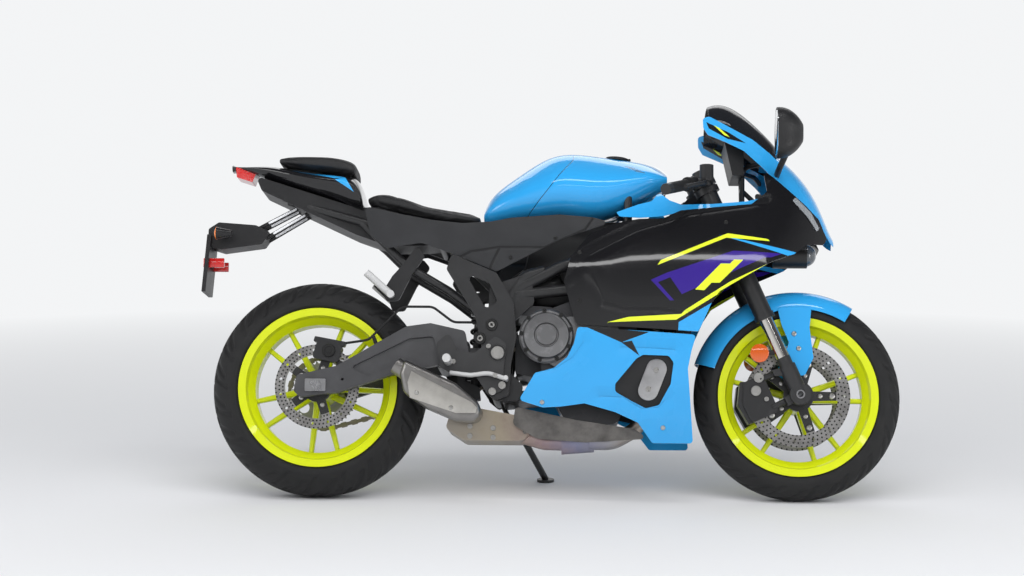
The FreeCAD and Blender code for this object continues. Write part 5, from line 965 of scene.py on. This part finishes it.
heads = {
    "socket": headMesh("socketHead", [(1.0, -0.3, False), (1.0, 0.55, False), (0.9, 0.7, False), (0.56, 0.7, True),
                                      (0.52, 0.25, True)]),
    "cap": headMesh("capHead", [(1.0, -0.1, False), (1.0, 0.22, False), (0.93, 0.3, False), (0.62, 0.3, False),
                                (0.58, 0.22, False), (0.3, 0.2, False)]),
    "button": headMesh("buttonHead", [(1.0, -0.2, False), (1.0, 0.1, False), (0.8, 0.42, False), (0.5, 0.55, False),
                                      (0.42, 0.55, True), (0.4, 0.2, True)]),
}
scatter, scatterSockets = scatterTree()
right, left, bothSides = (-1,), (1,), (-1, 1)
frontHub, rearHub = (frontAxle.x, frontAxle.z), (rearAxle.x, rearAxle.z)

# body, piece name, head, finish, slot, nodes that it may sit on, sides, size, places in reach and height
screws = [
    ("chassis", "case_screws", "socket", "boltBlack", "steel", ("clutch_cover", "engine"), right, 6.5,
     ring((666, 460), 72, 9, 15)),
    ("chassis", "lug_screws", "socket", "boltSteel", "steel", ("engine", "clutch_cover"), right, 5.5,
     [(600, 556), (680, 568), (752, 545), (738, 385), (700, 352), (762, 430)]),
    ("chassis", "generator_screws", "socket", "boltBlack", "steel", ("generator_cover",), left, 6.0,
     ring((830, 420), 62, 8, 10)),
    ("chassis", "pivot_screws", "cap", "boltSteel", "steel", ("pivot_covers", "frame", "rearset_right"), bothSides,
     11.0, [(512, 300), (540, 318)]),
    ("chassis", "cover_screws", "socket", "boltSteel", "steel", ("pivot_covers",), bothSides, 9.0,
     [(475, 453), (508, 493), (398, 600)]),
    ("chassis", "cover_bosses", "cap", "boltBlack", "frame_black", ("pivot_covers",), bothSides, 17.0,
     [(475, 453), (508, 493), (398, 600)]),
    ("chassis", "pivot_caps", "cap", "boltSteel", "steel", ("pivot_covers", "frame", "rearset_right"), bothSides,
     19.0, [(526, 411)]),
    ("chassis", "fairing_screws", "button", "boltSteel", "steel", ("lower_fairing_right", "lower_fairing_left"),
     bothSides, 7.0, [(655, 270), (1000, 200), (725, 492)]),
    ("chassis", "upper_screws", "button", "boltBlack", "steel", ("upper_fairing_right", "upper_fairing_left"),
     bothSides, 6.0, [(760, 700), (1180, 790), (760, 560)]),
    ("chassis", "strap_screws", "socket", "boltSteel", "steel", ("exhaust_pipes", "heat_shield"), right, 8.0,
     [(446, 206), (513, 201), (446, 178), (513, 174)]),
    ("chassis", "side_screws", "button", "boltBlack", "steel", ("side_covers",), bothSides, 6.0,
     [(560, 690), (690, 745)]),
    ("chassis", "caliper_caps", "cap", "boltBlack", "frame_black", ("rear_caliper",), right, 19.0, [(34, 421)]),
    ("chassis", "rest_screws", "socket", "boltSteel", "steel", ("rearset_right", "rearset_left"), bothSides, 7.0,
     [(500, 430), (400, 385), (520, 345)]),
    ("steering", "stop_switch", "cap", "redSwitch", "red_lens", ("hand_controls",), right, 8.0, [(1066, 893)]),
    ("steering", "fender_screws", "button", "boltSteel", "steel", ("front_fender",), bothSides, 7.5,
     [(1383, 483), (1396, 440)]),
    ("steering", "piston_caps", "cap", "boltSteel", "steel", ("front_calipers",), bothSides, 15.0,
     [(1278, 352), (1270, 314)]),
    ("steering", "caliper_screws", "socket", "boltSteel", "steel", ("front_calipers", "fork_sliders"), bothSides, 7.0,
     [(1310, 322), (1316, 375), (1300, 290)]),
    ("front_wheel", "front_disc_buttons", "button", "boltSteel", "steel", ("front_discs", "front_rim"), bothSides,
     9.0, ring(frontHub, 96, 5)),
    ("front_wheel", "front_hub_screws", "button", "boltSteel", "steel", ("front_discs", "front_rim"), bothSides, 7.0,
     ring(frontHub, 62, 5)),
    ("rear_wheel", "rear_disc_screws", "button", "boltSteel", "steel", ("rear_disc", "rear_rim"), right, 7.0,
     ring(rearHub, 56, 5)),
    ("rear_wheel", "sprocket_screws", "socket", "boltSteel", "steel", ("rear_sprocket",), left, 8.0,
     ring(rearHub, 56, 5, 36)),
]


# Mesh of one kind of screw at every spot, which is a place and the way it faces
def scattered(name, spots, head, finish, size):
    mesh = bpy.data.meshes.new(name)
    mesh.from_pydata([spot for spot, normal in spots], [], [])
    mesh.attributes.new("facing", "FLOAT_VECTOR", "POINT")
    mesh.attributes.new("size", "FLOAT", "POINT")
    for i, (spot, normal) in enumerate(spots):
        mesh.attributes["facing"].data[i].vector = normal
        mesh.attributes["size"].data[i].value = size / 1000
    holder = placed(name + "_points", mesh)
    spread = holder.modifiers.new("scatter", "NODES")
    spread.node_group = scatter
    spread[scatterSockets["Head"]] = heads[head]
    spread[scatterSockets["Finish"]] = finishes[finish]
    done = applied(holder)
    bpy.data.objects.remove(holder)
    return done


def makeScrews(table):
    made = 0
    for body, name, head, finish, slot, names, sides, size, places in table:
        spots = [surfaceAt(names, reach, height, side) for side in sides for reach, height in places]
        spots = [spot for spot in spots if spot]
        newPiece(name, scattered(name, spots, head, finish, size), finish, body)
        made += len(spots)
    print("screws:", made)


makeScrews(screws)


# trim

muffler = {
    "plate": [(274, 318), (284, 350), (458, 262), (472, 246), (468, 232), (413, 231), (281, 274)],
    "side": -222.0, "thick": 1.5, "edge": 0.5, "screws": [(398, 246), (300, 288)],
}


def makeMufflerPlate():
    outer = muffler["side"] - muffler["thick"]
    mesh = slab("muffler_plate", muffler["plate"], muffler["side"], outer, muffler["edge"])
    learn("muffler_plate", mesh)
    newPiece("muffler_plate", mesh, "canSteel", "chassis")


opening = {
    "corners": [(846, 322), (915, 432), (1040, 425), (1046, 268), (985, 222), (880, 246)], "sink": 9.0, "thick": 3.0,
    "widest": 150.0, "capsule": ((981, 366), (957, 304)), "radius": 29.0, "lift": 7.0, "bite": 2.0, "edge": 2.0,
    "screws": [(980, 362), (958, 308)],
}


# How far aside a named surface lies, in upright millimetres
def sideOf(name, reach, height, side):
    hit = surfaceAt((name,), reach, height, side)
    return (toUpright @ hit[0]).y * 1000 if hit else side * opening["widest"]


# Black inner panel behind the lower fairing's opening
def makeInnerPanel(side, word):
    outer = [(reach, sideOf("lower_fairing_" + word, reach, height, side) - side * opening["sink"], height)
             for reach, height in opening["corners"]]
    count = len(outer)
    centre = [sum(point[k] for point in outer) / count for k in range(3)]
    inner = [(x, y - side * opening["thick"], z) for x, y, z in outer]
    hub = [tuple(centre), (centre[0], centre[1] - side * opening["thick"], centre[2])]
    faces = []
    for i in range(count):
        k = (i + 1) % count
        faces += [(i, k, 2 * count), (k + count, i + count, 2 * count + 1), (i, i + count, k + count, k)]
    mesh = uprightMesh("inner_panel_" + word, outer + inner + hub, faces, False)
    learn("inner_panel_" + word, mesh)
    newPiece("inner_panel_" + word, mesh, "blackPlastic", "chassis")


# Bright capsule plate on the right inner panel
def makeCapsulePlate():
    outline = stadium(*opening["capsule"], opening["radius"])
    depth = sideOf("inner_panel_right", *opening["capsule"][0], -1)
    plate = slab("capsule_plate", outline, depth + opening["bite"], depth - opening["lift"], opening["edge"])
    learn("capsule_plate", plate)
    newPiece("capsule_plate", plate, "alloyCast", "chassis")


bay = {
    "outline": [(585, 610), (610, 730), (760, 806), (985, 822), (1000, 760), (880, 660), (760, 560), (640, 555)],
    "half": 62.0, "edge": 14.0,
    "cowl": [(560, 640), (600, 668), (700, 652), (716, 618), (655, 588), (580, 596)], "cowlSides": (62.0, 84.0),
    "cowlEdge": 5.0,
}


# Airbox and throttle bodies that close the view through the frame
def makeBay():
    box = slab("airbox", bay["outline"], -bay["half"], bay["half"], bay["edge"])
    newPiece("airbox", box, "blackPlastic", "chassis")
    near, far = bay["cowlSides"]
    for side, word in sideWords:
        piece = slab("throttle_cover_" + word, bay["cowl"], side * near, side * far, bay["cowlEdge"])
        newPiece("throttle_cover_" + word, piece, "boltBlack", "chassis")


reflector = {
    "centre": (1279, 420), "radius": 27.0, "around": 40, "sides": (112.0, 121.0), "edge": 2.0,
    "bracket": (1328, 424), "armSides": (109.0, 112.0), "armRadius": 7.0, "armEdge": 0.8,
    "rear": [(-352, 674), (-352, 702), (-290, 702), (-290, 674)], "rearSides": (35.0, 45.0),
}


# Plate across the bike on one side, between two distances from its middle
def sideSlab(name, outline, sides, side, edge):
    return slab(name, outline, side * sides[0], side * sides[1], edge)


def makeReflectors():
    disc = ring(reflector["centre"], reflector["radius"], reflector["around"])
    arm = stadium(reflector["centre"], reflector["bracket"], reflector["armRadius"])
    for side, word in sideWords:
        name = "fork_reflector_" + word
        mesh = sideSlab(name, disc, reflector["sides"], side, reflector["edge"])
        newPiece(name, mesh, "amberLens", "steering")
        name = "reflector_arm_" + word
        mesh = sideSlab(name, arm, reflector["armSides"], side, reflector["armEdge"])
        newPiece(name, mesh, "boltBlack", "steering")
        name = "rear_reflector_" + word
        mesh = sideSlab(name, reflector["rear"], reflector["rearSides"], side, reflector["edge"])
        newPiece(name, mesh, "redLens", "chassis")


mirrorGlass = {"inner": 235.0, "rimDepth": 0.5, "sink": 0.5, "lift": 1.2, "inset": 0.88, "edge": 0.6}


# Glass on each mirror's rear face, a little inside its rim
def makeMirrorGlass():
    spots = [toUpright @ vertex.co * 1000 for vertex in nodes["mirrors"].data.vertices]
    for side, word in sideWords:
        head = [spot for spot in spots if spot.y * side > mirrorGlass["inner"]]
        rear = min(spot.x for spot in head)
        rim = [spot for spot in head if spot.x < rear + mirrorGlass["rimDepth"]]
        middle = sum(rim, Vector()) / len(rim)
        rim.sort(key=lambda spot: math.atan2(spot.z - middle.z, spot.y - middle.y))
        face = [middle + (spot - middle) * mirrorGlass["inset"] for spot in rim]
        points = [(rear + mirrorGlass["sink"], spot.y, spot.z) for spot in face]
        points += [(rear - mirrorGlass["lift"], spot.y, spot.z) for spot in face]
        name = "mirror_glass_" + word
        mesh = moulded(name, uprightMesh(name, points, prismFaces(len(face)), False), mirrorGlass["edge"])
        newPiece(name, mesh, "mirrorGlass", "chassis")


makeMufflerPlate()
makeInnerPanel(-1, "right")
makeCapsulePlate()
makeInnerPanel(1, "left")
makeBay()
makeReflectors()
makeMirrorGlass()
makeScrews([
    ("chassis", "muffler_screws", "button", "boltSteel", "steel", ("muffler_plate",), right, 7.0, muffler["screws"]),
    ("chassis", "capsule_screws", "socket", "boltSteel", "steel", ("capsule_plate",), right, 8.0, opening["screws"]),
])
print("trim made")


# camera, floor and light

# place in millimetres, turns in degrees, focal length in pixels
view = {"reach": 755.3, "side": -5979.0, "height": 1169.0, "yaw": 1.82, "pitch": 5.25, "roll": 0.14, "focal": 2081.0,
        "imageWidth": 1024, "sensor": 36.0, "farthest": 200.0}


def makeCamera():
    camera = bpy.data.cameras.new("photoCamera")
    camera.sensor_width = view["sensor"]
    camera.lens = view["focal"] / view["imageWidth"] * view["sensor"]
    camera.clip_end = view["farthest"]
    holder = placed("photoCamera", camera)
    holder.location = groundSpot + Vector((view["reach"], view["side"], view["height"])) / 1000
    yaw, pitch = math.radians(view["yaw"]), math.radians(view["pitch"])
    forward = Vector((-math.sin(yaw) * math.cos(pitch), math.cos(yaw) * math.cos(pitch), -math.sin(pitch)))
    turn = forward.to_track_quat("-Z", "Y")
    holder.rotation_mode = "QUATERNION"
    holder.rotation_quaternion = turn @ Matrix.Rotation(math.radians(view["roll"]), 3, "Z").to_quaternion()
    bpy.context.scene.camera = holder


studio = {"floor": (0.74, 0.74, 0.75), "floorCloud": (0.7, 0.7, 0.71), "reach": 30.0, "near": 1.5, "far": 5.5,
          "backdrop": (0.9, 0.91, 0.92), "ceiling": (0.1, 0.1, 0.11), "horizon": (0.12, 0.5),
          "air": (0.93, 0.96, 1.0, 1), "ambient": 0.5}
# where each softbox stands, what it faces, its size across and up, its power, whether paint mirrors it
softboxes = [
    ((0.6, -3.4, 3.4), (0.1, 0.0, 0.5), 5.0, 2.4, 105.0, False),
    ((0.0, -1.5, 3.6), (0.0, -0.1, 0.7), 3.6, 0.35, 30.0, True),
    ((0.3, -4.2, 2.9), (0.0, 0.0, 0.6), 5.0, 0.12, 14.0, True),
    ((3.2, -2.4, 0.9), (0.5, 0.0, 0.6), 0.5, 1.6, 16.0, True),
    ((-3.4, -2.0, 2.0), (-0.4, 0.0, 0.5), 1.4, 1.4, 22.0, True),
    ((0.2, 3.4, 3.2), (0.0, 0.0, 0.6), 4.5, 1.6, 38.0, True),
]


# Pale floor that fades into the backdrop
def makeFloor():
    far = studio["reach"]
    mesh = bpy.data.meshes.new("floor")
    mesh.from_pydata([(-far, -far, 0), (far, -far, 0), (far, far, 0), (-far, far, 0)], [], [(0, 1, 2, 3)])
    floor = placed("floor", mesh)
    paint = Paint("floorPaint")
    cloud = paint.noise(1.5, 3.0)
    colour = paint.mix(paint.range(cloud, 0.3, 0.7, 0.0, 0.1), studio["floor"], studio["floorCloud"])
    away = paint.node("ShaderNodeVectorMath", {"operation": "LENGTH"}, {0: paint.spot()}, out=1)
    fade = paint.range(away, studio["near"], studio["far"])
    close = paint.node("ShaderNodeBsdfDiffuse", {}, {0: colour})
    distant = paint.node("ShaderNodeEmission", {}, {0: (*studio["backdrop"], 1)})
    both = paint.node("ShaderNodeMixShader", {}, {0: fade, 1: close, 2: distant})
    paint.node("ShaderNodeOutputMaterial", {}, {0: both})
    mesh.materials.append(paint.owner)


def makeLamps():
    for number, (place, target, wide, high, power, mirrored) in enumerate(softboxes):
        lamp = bpy.data.lights.new("softbox%d" % number, "AREA")
        lamp.shape = "RECTANGLE"
        lamp.size, lamp.size_y = wide, high
        lamp.energy = power
        holder = placed("softbox%d" % number, lamp)
        holder.location = place
        holder.visible_glossy = mirrored
        holder.rotation_mode = "QUATERNION"
        holder.rotation_quaternion = (Vector(target) - Vector(place)).to_track_quat("-Z", "Y")


# Soft light all round; seen straight, mirrored or through a lens it is the backdrop, darker overhead
def makeSky():
    world = bpy.data.worlds.new("studio")
    bpy.context.scene.world = world
    sky = Paint("studio", world)
    sky.node("ShaderNodeSeparateXYZ", {}, {0: sky.node("ShaderNodeTexCoord", out=0)})
    height = Wire(sky, sky.last.outputs[2])
    shown = sky.mix(sky.range(height, *studio["horizon"]), studio["backdrop"], studio["ceiling"])
    sky.node("ShaderNodeLightPath")
    rays = [Wire(sky, sky.last.outputs[kind]) for kind in ("Is Camera Ray", "Is Glossy Ray", "Is Transmission Ray")]
    soft = sky.node("ShaderNodeBackground", {}, {0: studio["air"], 1: studio["ambient"]})
    plain = sky.node("ShaderNodeBackground", {}, {0: shown, 1: 1.0})
    both = sky.node("ShaderNodeMixShader", {}, {0: anyOf(sky, rays), 1: soft, 2: plain})
    sky.node("ShaderNodeOutputWorld", {}, {0: both})


makeCamera()
makeFloor()
makeLamps()
makeSky()
bpy.context.scene.view_settings.view_transform = "Standard"
print("studio lit")
